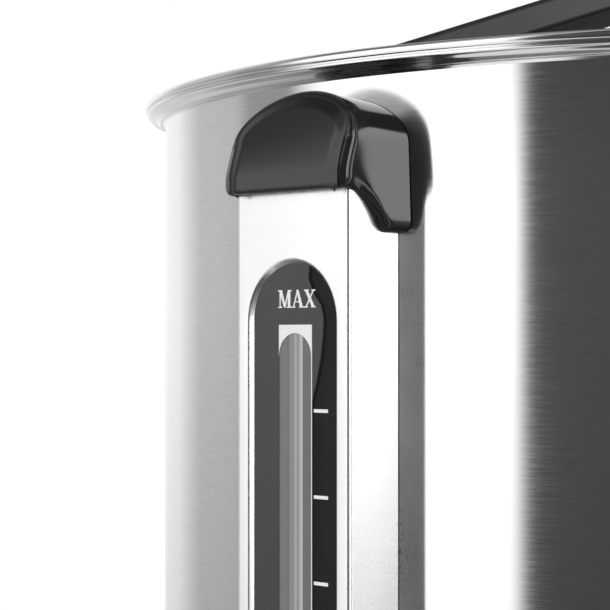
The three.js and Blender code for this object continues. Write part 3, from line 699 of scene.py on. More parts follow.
def ring_sheet(pairs, y, between=1):
    rows = []
    for k in range(between + 2):
        t = k / (between + 1)
        rows.append([(lerp(a[0], b[0], t), y, lerp(a[1], b[1], t)) for a, b in pairs])
    verts = [v for row in rows for v in row]
    return verts, grid(len(rows), len(pairs), False, True)


def make_cover():
    """The bent cover: a flat front with its window edge turned in, a small bend, and sides back to the wall."""
    bend = 1.3
    flat = COVER_HALF - bend
    rows = []
    for out, depth in [(0, 1.25), (0.45, 0.66), (0.68, 0.38), (0.86, 0.2), (1.05, 0.06), (1.3, 0)]:
        pairs = ring_pairs(WINDOW_HALF + out, WINDOW_LOW - out, WINDOW_HIGH + out,
                           flat, COVER_LOW[2], COVER_HIGH[2], True)
        rows.append([(x, COVER_Y + depth, z) for (x, z), _ in pairs])
    rows.append([(x, COVER_Y, z) for _, (x, z) in pairs])
    front = ([v for row in rows for v in row], grid(len(rows), len(pairs), False, True))
    sides = []
    for side in (1, -1):
        levels = sorted({round(b[1], 5) for a, b in pairs if abs(b[0] - side * flat) < 1e-6})
        profile = arc(flat, COVER_Y + bend, bend, -90, 0, 6)
        profile += [(COVER_HALF, y) for y in spaced(COVER_Y + bend, wall_y(COVER_HALF), 4)[1:]]
        verts = [(side * x, y, z) for z in levels for x, y in profile]
        sides.append((verts, grid(len(levels), len(profile))))
    verts, faces = joined(front, *sides)
    cover = piece("gauge_cover_skin", verts, faces, "cover", "gauge_cover", ["gauge_cover"])
    face_outwards(cover, (0, AXIS_Y, 280))
    thick(cover, 0.9)
    bevelled(cover, 0.12, 2, 60, 40)


def face_outwards(obj, middle):
    """Turns an open sheet's faces away from a point."""
    mesh = obj.data
    total = 0.0
    for polygon in mesh.polygons:
        away = [c * 1000 - m for c, m in zip(polygon.center, middle)]
        total += polygon.area * sum(a * n for a, n in zip(away, polygon.normal))
    if total < 0:
        mesh.flip_normals()


def make_face():
    """The black face plate behind the window, with a slot for the tube."""
    front = FACE_LOW[1]
    pairs = ring_pairs(SLOT_HALF, SLOT_LOW, SLOT_HIGH, FACE_HIGH[0], FACE_LOW[2], FACE_HIGH[2], False)
    verts, faces = ring_sheet(pairs, front, 3)
    plate = piece("gauge_face_skin", verts, faces, "face_black", "gauge_face", ["gauge_face"])
    face_outwards(plate, (0, AXIS_Y, 280))
    thick(plate, FACE_HIGH[1] - front)
    bevelled(plate, 0.1, 2, 60, 40)


# Each letter's width and strokes, for a letter 1 high.
LETTERS = {
    "M": (1.08, [
        [(0.12, 0), (0.21, 0), (0.21, 1), (0.12, 1)],
        [(0.78, 0), (0.98, 0), (0.98, 1), (0.78, 1)],
        [(0.08, 1), (0.31, 1), (0.62, 0.02), (0.48, 0.02)],
        [(0.48, 0.02), (0.60, 0.02), (0.88, 1), (0.79, 1)],
        [(0, 0), (0.32, 0), (0.32, 0.075), (0, 0.055)],
        [(0.69, 0), (1.08, 0), (1.08, 0.075), (0.69, 0.055)],
        [(0, 0.925), (0.3, 0.925), (0.3, 1), (0, 1)],
        [(0.80, 0.925), (1.08, 0.925), (1.08, 1), (0.80, 1)],
    ]),
    "A": (0.94, [
        [(0.07, 0), (0.17, 0), (0.49, 0.98), (0.40, 0.98)],
        [(0.36, 1), (0.52, 1), (0.88, 0), (0.65, 0)],
        [(0.22, 0.30), (0.66, 0.30), (0.64, 0.36), (0.24, 0.36)],
        [(0, 0), (0.26, 0), (0.26, 0.075), (0, 0.055)],
        [(0.57, 0), (0.94, 0), (0.94, 0.075), (0.57, 0.055)],
    ]),
    "X": (0.90, [
        [(0.04, 1), (0.27, 1), (0.85, 0), (0.62, 0)],
        [(0.08, 0), (0.18, 0), (0.80, 1), (0.70, 1)],
        [(0, 0), (0.29, 0), (0.29, 0.075), (0, 0.055)],
        [(0.54, 0), (0.90, 0), (0.90, 0.075), (0.54, 0.055)],
        [(0, 0.925), (0.35, 0.925), (0.35, 1), (0, 1)],
        [(0.58, 0.925), (0.88, 0.925), (0.88, 1), (0.58, 1)],
    ]),
}


def printed_on(front, outline, lift=0.0):
    """A thin film of ink on a face that looks to -Y."""
    return prism(outline, facing_front, front - 0.05 - lift, front + 0.02)


def slab(x0, x1, z0, z1):
    return [(x0, z0), (x1, z0), (x1, z1), (x0, z1)]


def make_marks():
    """The word, the full mark, the line beside the slot, and a tick for every 2 litres below the mark."""
    front = FACE_LOW[1]

    def printed(name, outlines):
        shapes = [printed_on(front, outline, 0.002 * i) for i, outline in enumerate(outlines)]
        piece(name, *joined(*shapes), "print_white", "gauge_face")

    height, gap, middle, baseline = 4.4, 0.03, 0.65, RIM_Z - 63.6
    pen = middle - height * (sum(LETTERS[letter][0] for letter in "MAX") + 2 * gap) / 2
    strokes = []
    for letter in "MAX":
        width, parts = LETTERS[letter]
        strokes += [[(pen + height * u, baseline + height * v) for u, v in part] for part in parts]
        pen += height * (width + gap)
    printed("gauge_word", strokes)
    arch = arc(0, SLOT_HIGH - SLOT_HALF, SLOT_HALF + 0.02, 0, 180, 24)
    printed("gauge_full_mark", [[*reversed(arch), (SLOT_HALF, MAX_Z), (-SLOT_HALF, MAX_Z)]])
    printed("gauge_edge_line", [slab(SLOT_HALF + 0.05, SLOT_HALF + 0.32, SLOT_LOW, MAX_Z)])
    level = MAX_Z - 2 * LITRE_MM
    ticks = []
    while level > SLOT_LOW + 4:
        ticks.append(slab(6.6, 11.4, level - 0.42, level + 0.42))
        level -= 2 * LITRE_MM
    printed("gauge_ticks", ticks)


def make_tube():
    r, bore = TUBE_HIGH[0], 3.7
    low, high = TUBE_LOW[2], TUBE_HIGH[2]
    outline = rounded([(bore, low), (r, low), (r, high), (bore, high)], 0.4, 3)
    verts, faces = turned(outline, 48, True, (0, mm_middle("sight_tube")[1]))
    piece("sight_tube_skin", verts, faces, "tube", "sight_tube", ["sight_tube"])


def make_lens():
    """The clear strip that fills the slot, a little behind the face."""
    half = SLOT_HALF - 0.03
    front = FACE_LOW[1] + 0.06
    back = mm_box("gauge_lens")[1][1]
    top = arc(0, SLOT_HIGH - SLOT_HALF, half, 0, 180, 24)
    bottom = arc(0, SLOT_LOW + SLOT_HALF, half, 180, 360, 24)
    verts, faces = prism(top + bottom, facing_front, front, back)
    lens = piece("gauge_lens_skin", verts, faces, "lens", "gauge_lens", ["gauge_lens"])
    bevelled(lens, 0.1, 2, 60, 40)


def along(points, value):
    """The second number of the points' line at a value of the first."""
    for (a, u), (b, v) in zip(points, points[1:]):
        if value <= b:
            return lerp(u, v, (max(value, a) - a) / (b - a))
    return points[-1][1]


def cap(name, node, centre_z, up, axes, front_of, edge_of, band_of, raised, shell, lip):
    """A moulded cap: an arched front inside a rounded edge, run back to the wall, open away from the arch.

    up is 1 for an arch above centre_z and -1 for one below it. axes gives the half width and the arch's rise at
    a depth from 0 (front) to 1 (wall), front_of the front's y at a height, edge_of the open edge's height at
    a y, and band_of the rounded edge's width from the arch's foot (0) to its crown (1).
    """
    shares = [0, 0.01, 0.025, 0.045, 0.07, 0.1, 0.135, 0.175, 0.22, 0.3, 0.4, 0.52, 0.64, 0.76, 0.88]
    columns = [(1, None, t) for t in shares]
    columns += [(0, math.radians(a), 1) for a in spaced(0, 180, 64)]
    columns += [(-1, None, t) for t in reversed(shares)]

    def point(column, inset, back, depth, turn):
        side, angle, share = column
        half, rise = axes(depth)
        lift = 0 if angle is None else math.sin(angle)
        band = band_of(lift)
        if inset <= 1:
            inset *= band
        if inset > 1:
            inset += band - 1
        if angle is None:
            x, side_x = side * (half - inset), side * half
            height = lerp(edge_of(front_of(0)), centre_z, share)
        else:
            x, side_x = (half - inset) * math.cos(angle), half * math.cos(angle)
            z = height = centre_z + up * (rise - inset) * lift
        y = lerp(front_of(height) + back * (band if back > 0 else 1), wall_y(side_x), depth)
        if angle is None:
            edge = edge_of(y)
            z = lerp(edge, centre_z, share)
            x += side * 0.8 * depth * (1 - share)
            radius = lerp(lip, 2 * lip, turn)
            short = max(0.0, radius - abs(z - edge))
            pull = radius - math.sqrt(radius ** 2 - short ** 2)
            x -= side * pull * turn
            y += pull * (1 - turn)
        return (x, y, z)

    rows = []
    for inset in [5.2, 4.6, 4.2, 3.8, 3.4, 3.0, 2.6, 2.2, 1.8, 1.5, 1.3, 1.0001]:
        lift = raised * smoothstep((inset - 1.3) / 3.2)
        rows.append([point(c, inset, -lift, 0, 0) for c in columns])
    for a in spaced(0, 90, 10)[1:]:
        turn = math.radians(a)
        rows.append([point(c, 1 - math.sin(turn), 1 - math.cos(turn), 0, math.sin(turn)) for c in columns])
    for t in spaced(0, 1, 24)[1:]:
        rows.append([point(c, 0, 1, t, 1) for c in columns])
    verts = [v for row in rows for v in row]
    faces = grid(len(rows), len(columns))
    last = len(columns) - 1
    middle = last // 2
    faces += [(i, i + 1, last - i - 1, last - i) for i in range(middle - 1)]
    faces.append((middle - 1, middle, middle + 1))
    obj = piece(name, verts, faces, "gloss_black", node, [node], sharp=75)
    face_outwards(obj, (0, AXIS_Y, centre_z))
    thick(obj, shell, False)
    smooth(obj, 75)
    return obj


def make_caps():
    front = HOOD_LOW[1]
    shoulder = HOOD_HIGH[2] - 14
    lip = [(0, 35.4), (3.2, 35.4), (5.6, 36.2), (8.8, 38.6), (11.7, 41.7), (13.3, 44.3), (15, 45.4),
           (19, 45.4)]
    edge = [(front + back, RIM_Z - down) for back, down in lip]

    cap("gauge_hood_skin", "gauge_hood", shoulder, 1,
        lambda depth: (lerp(21.6, 22.9, depth), lerp(14, 13, depth)),
        lambda z: front + 7.5 * max(0.0, (z - shoulder + 7) / 21) ** 1.2,
        lambda y: along(edge, y),
        lambda lift: lerp(2.6, 1.1, smoothstep(lift * 2.2)),
        0.55, 1.2, 1.4)
    half = FOOT_HIGH[0]
    cap("gauge_foot_skin", "gauge_foot", FOOT_LOW[2] + half, -1,
        lambda depth: (half - 0.8, half), lambda z: FOOT_LOW[1],
        lambda y: FOOT_HIGH[2], lambda lift: 2.4, 0.0, 1.9, 0.4)


# ---------- lid ----------

STRAP_TURN = math.radians(45)


def make_lid():
    """A domed sheet with a step near its edge, and a collar that sits inside the rim."""
    top = LID_HIGH[2]
    edge = LID_HIGH[0]
    collar_low = LID_LOW[2]
    dome = [(r, top - down) for r, down in
            [(0, 0), (20, 0.1), (40, 0.35), (60, 0.8), (85, 1.7), (110, 3), (130, 4.8), (142, 6.2)]]
    corners = [(142, top - 6.2), (150, top - 7.6), (158, top - 11), (edge, top - 11)]
    step = rounded(corners, [0, 5, 3, 0], 5, False)[1:-1]
    roll = arc(edge - 0.5, top - 11.5, 0.5, 90, -90, 8)
    under = [(r, top - down) for r, down in [(159, 12), (151, 8.7), (141, 7.2), (110, 4), (60, 1.8), (0, 1)]]
    shell = turned(dome + step + roll + under, 192, False, (0, AXIS_Y))
    collar = rounded(slab(169.5, 170.5, collar_low, top - 11.6), 0.35, 3)
    ring = turned(collar, 192, True, (0, AXIS_Y))
    piece("lid_skin", *joined(shell, ring), "lid", "lid", ["lid"], sharp=50)


def make_strap():
    """The lid's handle: a wide strap with sloping arms, a rounded crest and a post at each end."""
    half, width, thickness, post = 122.0, 50.0, 9.5, 26.0
    rise = STRAP_CREST

    def top_at(reach):
        return RIM_Z + 32 + (57 - reach) * 0.31

    lid_z = LID_HIGH[2] - 3.3
    inner = half - post
    right_top = [(0, rise), (19, rise - 1.1), (32, top_at(32)), (half - 3, top_at(half - 3)),
                 (half + 0.5, RIM_Z + 11), (half, lid_z)]
    right_under = [(inner, lid_z + 0.6), (inner - 6, top_at(inner - 6) - thickness),
                   (30, top_at(30) - thickness), (17, rise - 0.8 - thickness), (0, rise - thickness)]
    left_top = [(-x, z) for x, z in reversed(right_top[1:])]
    left_under = [(-x, z) for x, z in reversed(right_under[:-1])]
    outline = rounded([*left_top, *right_top, *right_under, *left_under], 9, 8)
    cos, sin = math.cos(STRAP_TURN), math.sin(STRAP_TURN)

    def place(u, v, w):
        return (u * cos - w * sin, AXIS_Y + u * sin + w * cos, v)

    verts, faces = prism(outline, place, -width / 2, width / 2)
    strap = piece("lid_handle_skin", verts, faces, "handle_black", "lid_handle", ["lid_handle"])
    bevelled(strap, 1.9, 5, 50, 40)


# ---------- base, feet and controls ----------

FASCIA_HALF = PLATE_HIGH[0] + 4
FASCIA_Y = BASE_LOW[1]
FASCIA_LOW, FASCIA_HIGH = PLATE_LOW[2] - 4, PLATE_HIGH[2] + 4


def box_cutter(x0, x1, y0, y1, z0, z1):
    return cutter(*prism(slab(x0, x1, z0, z1), facing_front, y0, y1))


def hole_cutter(node):
    """A round cutter through the control box's front where a node passes it."""
    x, _, z = mm_middle(node)
    verts, faces = turned([(0, -8), (4.6, -8), (4.6, 8), (0, 8)], 24)
    return cutter(laid_forward(verts, x, FASCIA_Y, z), faces)


def make_base():
    """The ring under the pot, with the inlet's opening, and the control box on its front."""
    r, low, high = BASE_HIGH[0] - 1, BASE_LOW[2], BASE_HIGH[2]
    inner = WALL_R + 0.6
    outline = rounded(
        [(r + 1, low), (r, high - 0.5), (r - 0.7, high), (inner, high), (inner, 76), (WALL_R - 3, 70),
         (WALL_R - 14, 69.6), (WALL_R - 14, 66.6), (WALL_R - 1, 66.6), (r - 3, 60), (r - 2, low)],
        [0.8, 1.5, 0.6, 0.5, 0, 0, 0, 0, 0, 0, 0.4], 4)
    verts, faces = turned(outline, 240, True, (0, AXIS_Y))
    ring = piece("base_ring_skin", verts, faces, "satin_black", "base_housing", ["base_housing"], sharp=45)
    inlet_low, inlet_high = mm_box("mains_inlet")
    cut(ring, box_cutter(-14.8, 14.8, 180, 260, inlet_low[2] + 2.2, inlet_high[2] - 2.2))
    smooth(ring, 45)
    outline = rounded(slab(-FASCIA_HALF, FASCIA_HALF, FASCIA_LOW, FASCIA_HIGH), 6, 8)
    back = AXIS_Y - 160
    verts, faces = prism(outline, facing_front, FASCIA_Y, back)
    box = piece("base_control_box", verts, faces, "satin_black", "base_housing", sharp=40)
    hollow = rounded(slab(-FASCIA_HALF + 3, FASCIA_HALF - 3, FASCIA_LOW + 3, FASCIA_HIGH - 8), 3, 3)
    pocket = cutter(*prism(hollow, facing_front, FASCIA_Y + 3, back + 10))
    core_r = BASE_HIGH[0] - 2.4
    core = cutter(*turned([(0, -10), (core_r, -10), (core_r, 120), (0, 120)], 120, False, (0, AXIS_Y)))
    low, high = mm_box("switch_frame")
    switch = box_cutter(low[0] + 2, high[0] - 2, FASCIA_Y - 8, FASCIA_Y + 8, low[2] + 2, high[2] - 2)
    lamps = [hole_cutter(lamp) for lamp in ("lamp_heating", "lamp_ready")]
    cut(box, pocket, core, hole_cutter("thermostat_knob"), switch, *lamps)
    bevelled(box, 1.2, 4, 60, 40)


def make_feet():
    """Rubber feet, each pushed through the bottom plate with a barbed stub."""
    top = mm_box("bottom_plate")[0][2] - 0.3
    for i in (1, 2, 3, 4):
        node = f"foot_{i}"
        low, high = mm_box(node)
        r = (high[0] - low[0]) / 2
        pad = [(7, 0), (r - 0.8, 0), (r, 1.2), (r - 1.2, top), (5, top)]
        outline = [(0, 0.6), (6, 0.6), (7, 0)] + rounded(pad, [0, 0.8, 1, 0.8, 0], 4, False)[1:]
        outline += [(5, top + 2), (6.4, top + 2.4), (6.2, top + 3.2), (4, top + 6), (0, top + 6)]
        piece(f"{node}_skin", *turned(outline, 48, False, mm_middle(node)[:2]), "rubber", node, [node])


def ribbed(profile, segments, ribs, depth, has_ribs, centre=(0.0, 0.0)):
    """The vertices of a turned profile, with ribs where has_ribs(radius, height) is true."""
    verts = []
    for r, z in profile:
        for j in range(segments):
            a = 2 * math.pi * j / segments
            reach = r - depth * (0.5 - 0.5 * math.cos(ribs * a)) if has_ribs(r, z) else r
            verts.append((centre[0] + reach * math.cos(a), centre[1] + reach * math.sin(a), z))
    return verts


def make_knob():
    """A skirted knob with a ribbed side, a grip bar across its face and a white line at the bar's end."""
    node = "thermostat_knob"
    x, _, z = mm_middle(node)
    back = KNOB_HIGH[1]
    r = (KNOB_HIGH[0] - KNOB_LOW[0]) / 2
    depth = back - KNOB_LOW[1]
    face_at, bore_r, segments = 17.2, 3.3, 120
    corners = [(bore_r, 0), (r, 0), (r, 4), (r - 2.4, 7), (r - 3.4, 15.5), (r - 5.0, face_at),
               (bore_r, face_at)]
    profile = rounded(corners, [0, 0.5, 0.8, 1.0, 1.2, 1.0, 0], 4, False)
    verts = ribbed(profile, segments, 24, 0.45, lambda pr, pz: 6.8 < pz < 16 and pr > r - 6)
    skirt = (verts, grid(len(profile), segments, False, True))
    face = turned([(bore_r, face_at), (0, face_at)], segments)
    bore = turned([(bore_r, 0), (bore_r, 13), (0, 13)], 32)
    verts, faces = joined(skirt, face, bore)
    piece(f"{node}_skin", laid_forward(verts, x, back, z), faces, "gloss_black", node, [node], sharp=40)
    verts, faces = prism(rounded(slab(-3.4, 3.4, -r + 3.4, r - 3.4), 2.6, 6), upright, 15.5, depth)
    bevelled(piece(f"{node}_grip", laid_forward(verts, x, back, z), faces, "gloss_black", node), 1.1, 4, 60)
    verts, faces = prism(slab(-0.5, 0.5, 4, r - 5.5), upright, depth - 0.28, depth + 0.02)
    piece(f"{node}_line", laid_forward(verts, x, back, z), faces, "print_white", node)


def make_dial():
    """Marks round the knob, longer every third one, and a bar and a ring above and below the switch."""
    x, _, z = mm_middle("thermostat_knob")
    front = PLATE_LOW[1]
    shapes = []
    for i in range(10):
        a = math.radians(225 - 27 * i)
        reach = 24.6 if i % 3 == 0 else 23.8
        c, s = math.cos(a), math.sin(a)
        outline = [(x + u * c - v * s, z + u * s + v * c) for u, v in slab(22.0, reach, -0.3, 0.3)]
        shapes.append(printed_on(front, outline))
    piece("dial_marks", *joined(*shapes), "print_grey", "fascia_plate")
    low, high = mm_box("switch_frame")
    x = (low[0] + high[0]) / 2
    bar = printed_on(front, slab(x - 0.35, x + 0.35, high[2] + 2, high[2] + 5))
    sides = 32
    edges = (1.8, front - 0.05), (1.25, front - 0.05), (1.25, front + 0.02), (1.8, front + 0.02)
    rows = [[(u, y, v) for u, v in arc(x, low[2] - 3.6, r, 0, 360, sides)[:-1]] for r, y in edges]
    ring = ([v for row in rows for v in row], grid(len(rows), sides, True, True))
    piece("switch_marks", *joined(bar, ring), "print_grey", "fascia_plate")


def make_rocker():
    """A dished rocker, tipped to its on side about its pivot."""
    low, high = mm_box("switch_rocker")
    half = (high[0] - low[0]) / 2
    x, y, z = PIVOT["rocker_tilt"]
    tall = 11.4
    heights = spaced(-tall, tall, 16)
    dish = [(-4.6 + 1.9 * math.sin(math.pi * (v + tall) / (2 * tall)) ** 0.8, v) for v in heights]
    outline = dish + [(0.5, tall), (4.5, 3), (4.5, -3), (0.5, -tall)]
    c, s = math.cos(math.radians(8)), math.sin(math.radians(8))

    def place(u, v, w):
        return (x + w, y + u * c - v * s, z + u * s + v * c)

    verts, faces = prism(outline, place, -half, half)
    rocker = piece("switch_rocker_skin", verts, faces, "rocker_red", "switch_rocker", ["switch_rocker"])
    bevelled(rocker, 0.45, 3, 50)


def make_lamps():
    """Domed lenses with a flange, each on a stem through the plate."""
    flange = rounded([(4.2, 0.3), (5.6, 0.3), (5.6, 1.4), (4.6, 1.7)], [0, 0.2, 0.4, 0], 3, False)
    dome = [(r, 1.7 + 1.6 * math.cos(math.radians(90 * r / 4.6)) ** 0.8) for r in (4.2, 3.6, 2.8, 2.0, 1.0)]
    verts, faces = turned([(0, -12), (4.2, -12), *flange, *dome, (0, 3.3)], 48)
    for node, look in (("lamp_heating", "lamp_red"), ("lamp_ready", "lamp_green")):
        x, _, z = mm_middle(node)
        piece(f"{node}_skin", laid_forward(verts, x, PLATE_LOW[1], z), faces, look, node, [node])


# ---------- tap ----------

TAP_MIDDLE = mm_middle("tap_bonnet")[:2]
TAP_Z = mm_middle("tap_nut")[2]


def make_tap():
    """The barrel, open at both ends, and the arm that joins it to the tee."""
    low, high = TAP_LOW[2], TAP_HIGH[2]
    corners = [(5, low), (8.4, low), (8.9, low + 3), (8.9, TAP_Z - 30), (10.9, TAP_Z - 26),
               (10.9, TAP_Z - 22), (13.5, TAP_Z - 17), (13.5, high - 5), (12.9, high - 4.4), (12.9, high - 3.6), (13.5, high - 3),
               (13.5, high), (9.4, high)]
    outside = rounded(corners, [0.2, 0.6, 1, 1.5, 1, 1, 3, 0.3, 0.2, 0.2, 0.3, 0.5, 0.2], 4, False)
    seat = [(9.4, TAP_Z - 14), (5, TAP_Z - 14)]
    barrel = turned(outside + seat, 72, True, TAP_MIDDLE)
    piece("tap_body_skin", *barrel, "gloss_black", "tap_body", ["tap_body"], sharp=40)
    corners = [(6, 0), (11.2, 0), (11.2, 20), (13, 23), (13, 34), (10.3, 34), (10.3, 20.6), (6, 20.6)]
    verts, faces = turned(rounded(corners, [0, 0, 3, 1.5, 0.8, 0.2, 0, 0], 4), 56, True)
    verts = [(vx, TAP_MIDDLE[1] + vz, TAP_Z + vy) for vx, vy, vz in verts]
    arm = piece("tap_body_arm", verts, faces, "gloss_black", "tap_body", sharp=40)
    chamber = arc(*TAP_MIDDLE, 9.35, 0, 360, 48)[:-1]
    cut(arm, cutter(*prism(chamber, upright, TAP_Z - 14, TAP_Z + 14)))


def make_bonnet():
    """The ribbed cap that closes the barrel's top."""
    low, high, r = BONNET_LOW[2], BONNET_HIGH[2], BONNET_HIGH[0]
    skirt = low + 12.3
    corners = [(3, low), (9, low), (9, skirt), (r, skirt), (r, high - 1.4), (r - 1.6, high), (3, high)]
    outline = rounded(corners, [0, 0.3, 0, 0.5, 0.8, 0.8, 0], 4, False)
    segments = 144
    verts = ribbed(outline, segments, 36, 0.5, lambda pr, pz: pr > r - 1.2, TAP_MIDDLE)
    faces = grid(len(outline), segments, True, True)
    piece("tap_bonnet_skin", verts, faces, "gloss_black", "tap_bonnet", ["tap_bonnet"], sharp=40)


def make_lever():
    """A sloping paddle with a wider thumb pad, between two cams on the lever's pin."""
    _, pin_y, pin_z = mm_middle("lever_pin")

    def place(u, v, w):
        return (w, pin_y + u, pin_z + v)

    back = [(-8.6, -0.8), (-6.6, 8), (-23.6, 32.6), (-29.6, 41.2)]
    front = [(-35.0, 43.0), (-36.4, 40.2), (-32.8, 33.8), (-18.4, 9), (-12.4, -1.2)]
    verts, faces = prism(rounded([*back, *front], 5, 6), place, -6.3, 6.3)
    paddle = piece("tap_lever_skin", verts, faces, "gloss_black", "tap_lever", ["tap_lever"])
    bevelled(paddle, 1.6, 5, 50)
    pad = [(-25.4, 31.4), (-30.0, 41.2), (-34.8, 42.8), (-36.2, 40.0), (-32.6, 33.6), (-27, 29.4)]
    verts, faces = prism(rounded(pad, 2.5, 5), place, -10.9, 10.9)
    thumb = piece("tap_lever_thumb", verts, faces, "gloss_black", "tap_lever")
    bevelled(thumb, 1.8, 5, 50)
    cam = arc(-5.1, 0, 5.95, 100, 300, 28) + arc(0, 0, 4.35, -50, 60, 18)
    for word, side in (("left", -1), ("right", 1)):
        verts, faces = prism(cam, place, side * 2.95, side * 6.35)
        bevelled(piece(f"tap_lever_cheek_{word}", verts, faces, "gloss_black", "tap_lever"), 0.5, 3, 50)


# ---------- side handles ----------


def handle_path(reach):
    """The loop's path as (out, along) points: out from one foot, round both bends and back to the other."""
    half_length, foot, corner_r = 44.0, 174.0, 20
    inner_x = reach - 6.6
    bend = [(inner_x - corner_r + corner_r * math.sin(math.radians(a)),
             -half_length + corner_r - corner_r * math.cos(math.radians(a))) for a in spaced(0, 90, 16)]
    leg = [(lerp(foot, bend[0][0], t), -half_length) for t in (0, 0.33, 0.66)]
    near = leg + bend
    return near + [(x, -y) for x, y in reversed(near)]


def handle_flange(side, end, middle):
    """A pad on the wall at one end of the loop, its outer edge rounded."""
    half_y, half_z = 13, 12
    cy = end * 51
    outline = rounded(slab(cy - half_y, cy + half_y, middle - 11.9, middle + 11.9), 6, 8)
    verts = []
    for inset, x in ((0, None), (0, 181.6), (0.35, 182.7), (0.95, 183.5), (2.0, 183.9)):
        for y, z in outline:
            y = cy + (y - cy) * (1 - inset / half_y)
            z = middle + (z - middle) * (1 - inset / half_z)
            out = math.sqrt((WALL_R + 0.3) ** 2 - y * y) if x is None else x
            verts.append((side * out, AXIS_Y + y, z))
    return capped(verts, grid(5, len(outline), False, True), len(outline))


def make_handles():
    """Each side handle: a loop of flattened bar between two pads on the wall."""
    section = rounded(slab(-6.3, 6.3, -7.9, 7.9), 5.2, 8)
    for word, side in (("left", -1), ("right", 1)):
        node = f"handle_{word}"
        low, high = mm_box(node)
        middle = (low[2] + high[2]) / 2
        path = handle_path(max(abs(low[0]), abs(high[0])))
        normals = []
        for i in range(len(path)):
            a, b = path[max(i - 1, 0)], path[min(i + 1, len(path) - 1)]
            dx, dy = b[0] - a[0], b[1] - a[1]
            size = math.hypot(dx, dy)
            normals.append((side * dy / size, -dx / size))
        loop = swept(section, [(side * x, AXIS_Y + y, middle) for x, y in path], normals)
        flanges = [handle_flange(side, end, middle) for end in (1, -1)]
        piece(f"{node}_skin", *joined(loop, *flanges), "handle_black", node, [node], sharp=40)


def screw_head(name, node, tip, direction, r, height, length):
    """A pan-head screw with a cross recess: tip is the head's outer centre, direction the way it points."""
    dome = [math.radians(a) for a in spaced(12, 90, 10)]
    outline = [(0, height)] + [(r * math.sin(a), height * (0.45 + 0.55 * math.cos(a))) for a in dome]
    outline += [(r, 0.3), (r - 0.3, 0), (2.2, 0), (2.2, -length), (0, -length)]
    verts, faces = turned(outline, 36)
    dx, _, dz = direction

    def place(v):
        u, w, h = v
        h -= height
        if abs(dz) > 0.5:
            return (tip[0] + u, tip[1] + w * dz, tip[2] + h * dz)
        return (tip[0] + h * dx, tip[1] + u, tip[2] + w * dx)

    obj = piece(name, [place(v) for v in verts], faces, "bright", node, [node], sharp=40)
    arms = []
    for a, b in ((2.6, 0.5), (0.5, 2.6)):
        verts, faces = prism(slab(-a, a, -b, b), upright, height - 1.1, height + 1)
        arms.append(cutter([place(v) for v in verts], faces))
    cut(obj, *arms)
    smooth(obj, 40)


def make_screws():
    for i in (1, 2, 3, 4):
        node = f"handle_screw_{i}"
        low, high = mm_box(node)
        side = 1 if high[0] > 0 else -1
        _, y, z = mm_middle(node)
        tip = (high[0] if side > 0 else low[0], y, z)
        screw_head(f"{node}_skin", node, tip, (side, 0, 0), 4.5, 3.2, 18)
    for i in (1, 2):
        node = f"lid_screw_{i}"
        x, y, _ = mm_middle(node)
        screw_head(f"{node}_skin", node, (x, y, mm_box(node)[0][2]), (0, 0, -1), 4.5, 3.1, 11)


# ---------- CAD nodes that stay, with their own finish ----------

# Each node's look, and how far its edges are rounded.
KEPT = {
    "fascia_plate": ("fascia", 0.15),
    "bottom_plate": ("aluminium", 0.2),
    "heater_plate": ("aluminium", 0.3),
    **{f"tie_bolt_{i}": ("aluminium", 0.3) for i in (1, 2, 3)},
    "heating_element": ("sheath", 0),
    "dry_boil_cutout": ("satin_black", 0.3),
    "thermostat_body": ("aluminium", 0.6),
    "thermostat_capillary": ("brass", 0),
    "thermostat_shaft": ("aluminium", 0.2),
    "switch_frame": ("satin_black", 0.4),
    "mains_inlet": ("satin_black", 0.5),
    **{f"inlet_pin_{i}": ("brass", 0.3) for i in (1, 2, 3)},
    "terminal_block": ("terminal", 0.4),
    "lead_live": ("wire_brown", 0),
    "lead_earth": ("wire_green", 0),
    "lead_neutral": ("wire_blue", 0),
    "tube_seal_top": ("silicone", 0.3),
    "tube_seal_bottom": ("silicone", 0.2),
    "tap_tee": ("bright", 0.3),
    "tap_washer_outer": ("silicone", 0.3),
    "tap_washer_inner": ("silicone", 0.3),
    "tap_nut": ("bright", 0.5),
    "tap_spring": ("bright", 0),
    "valve_stem": ("bright", 0.2),
    "valve_cup": ("silicone", 0.3),
    "lever_pin": ("bright", 0.2),
}


def dress_kept():
    for node, (look, edge) in KEPT.items():
        obj = frame["nodes"][node]
        for i in range(max(1, len(obj.material_slots))):
            if obj.material_slots:
                obj.material_slots[i].material = LOOKS[look]
            else:
                obj.data.materials.append(LOOKS[look])
        if edge:
            bevel = obj.modifiers.new("edges", "BEVEL")
            bevel.width = edge / 1000
            bevel.segments = 2
            bevel.limit_method = "ANGLE"
            bevel.angle_limit = math.radians(40)
            bevel.harden_normals = False


# ---------- floor and light ----------


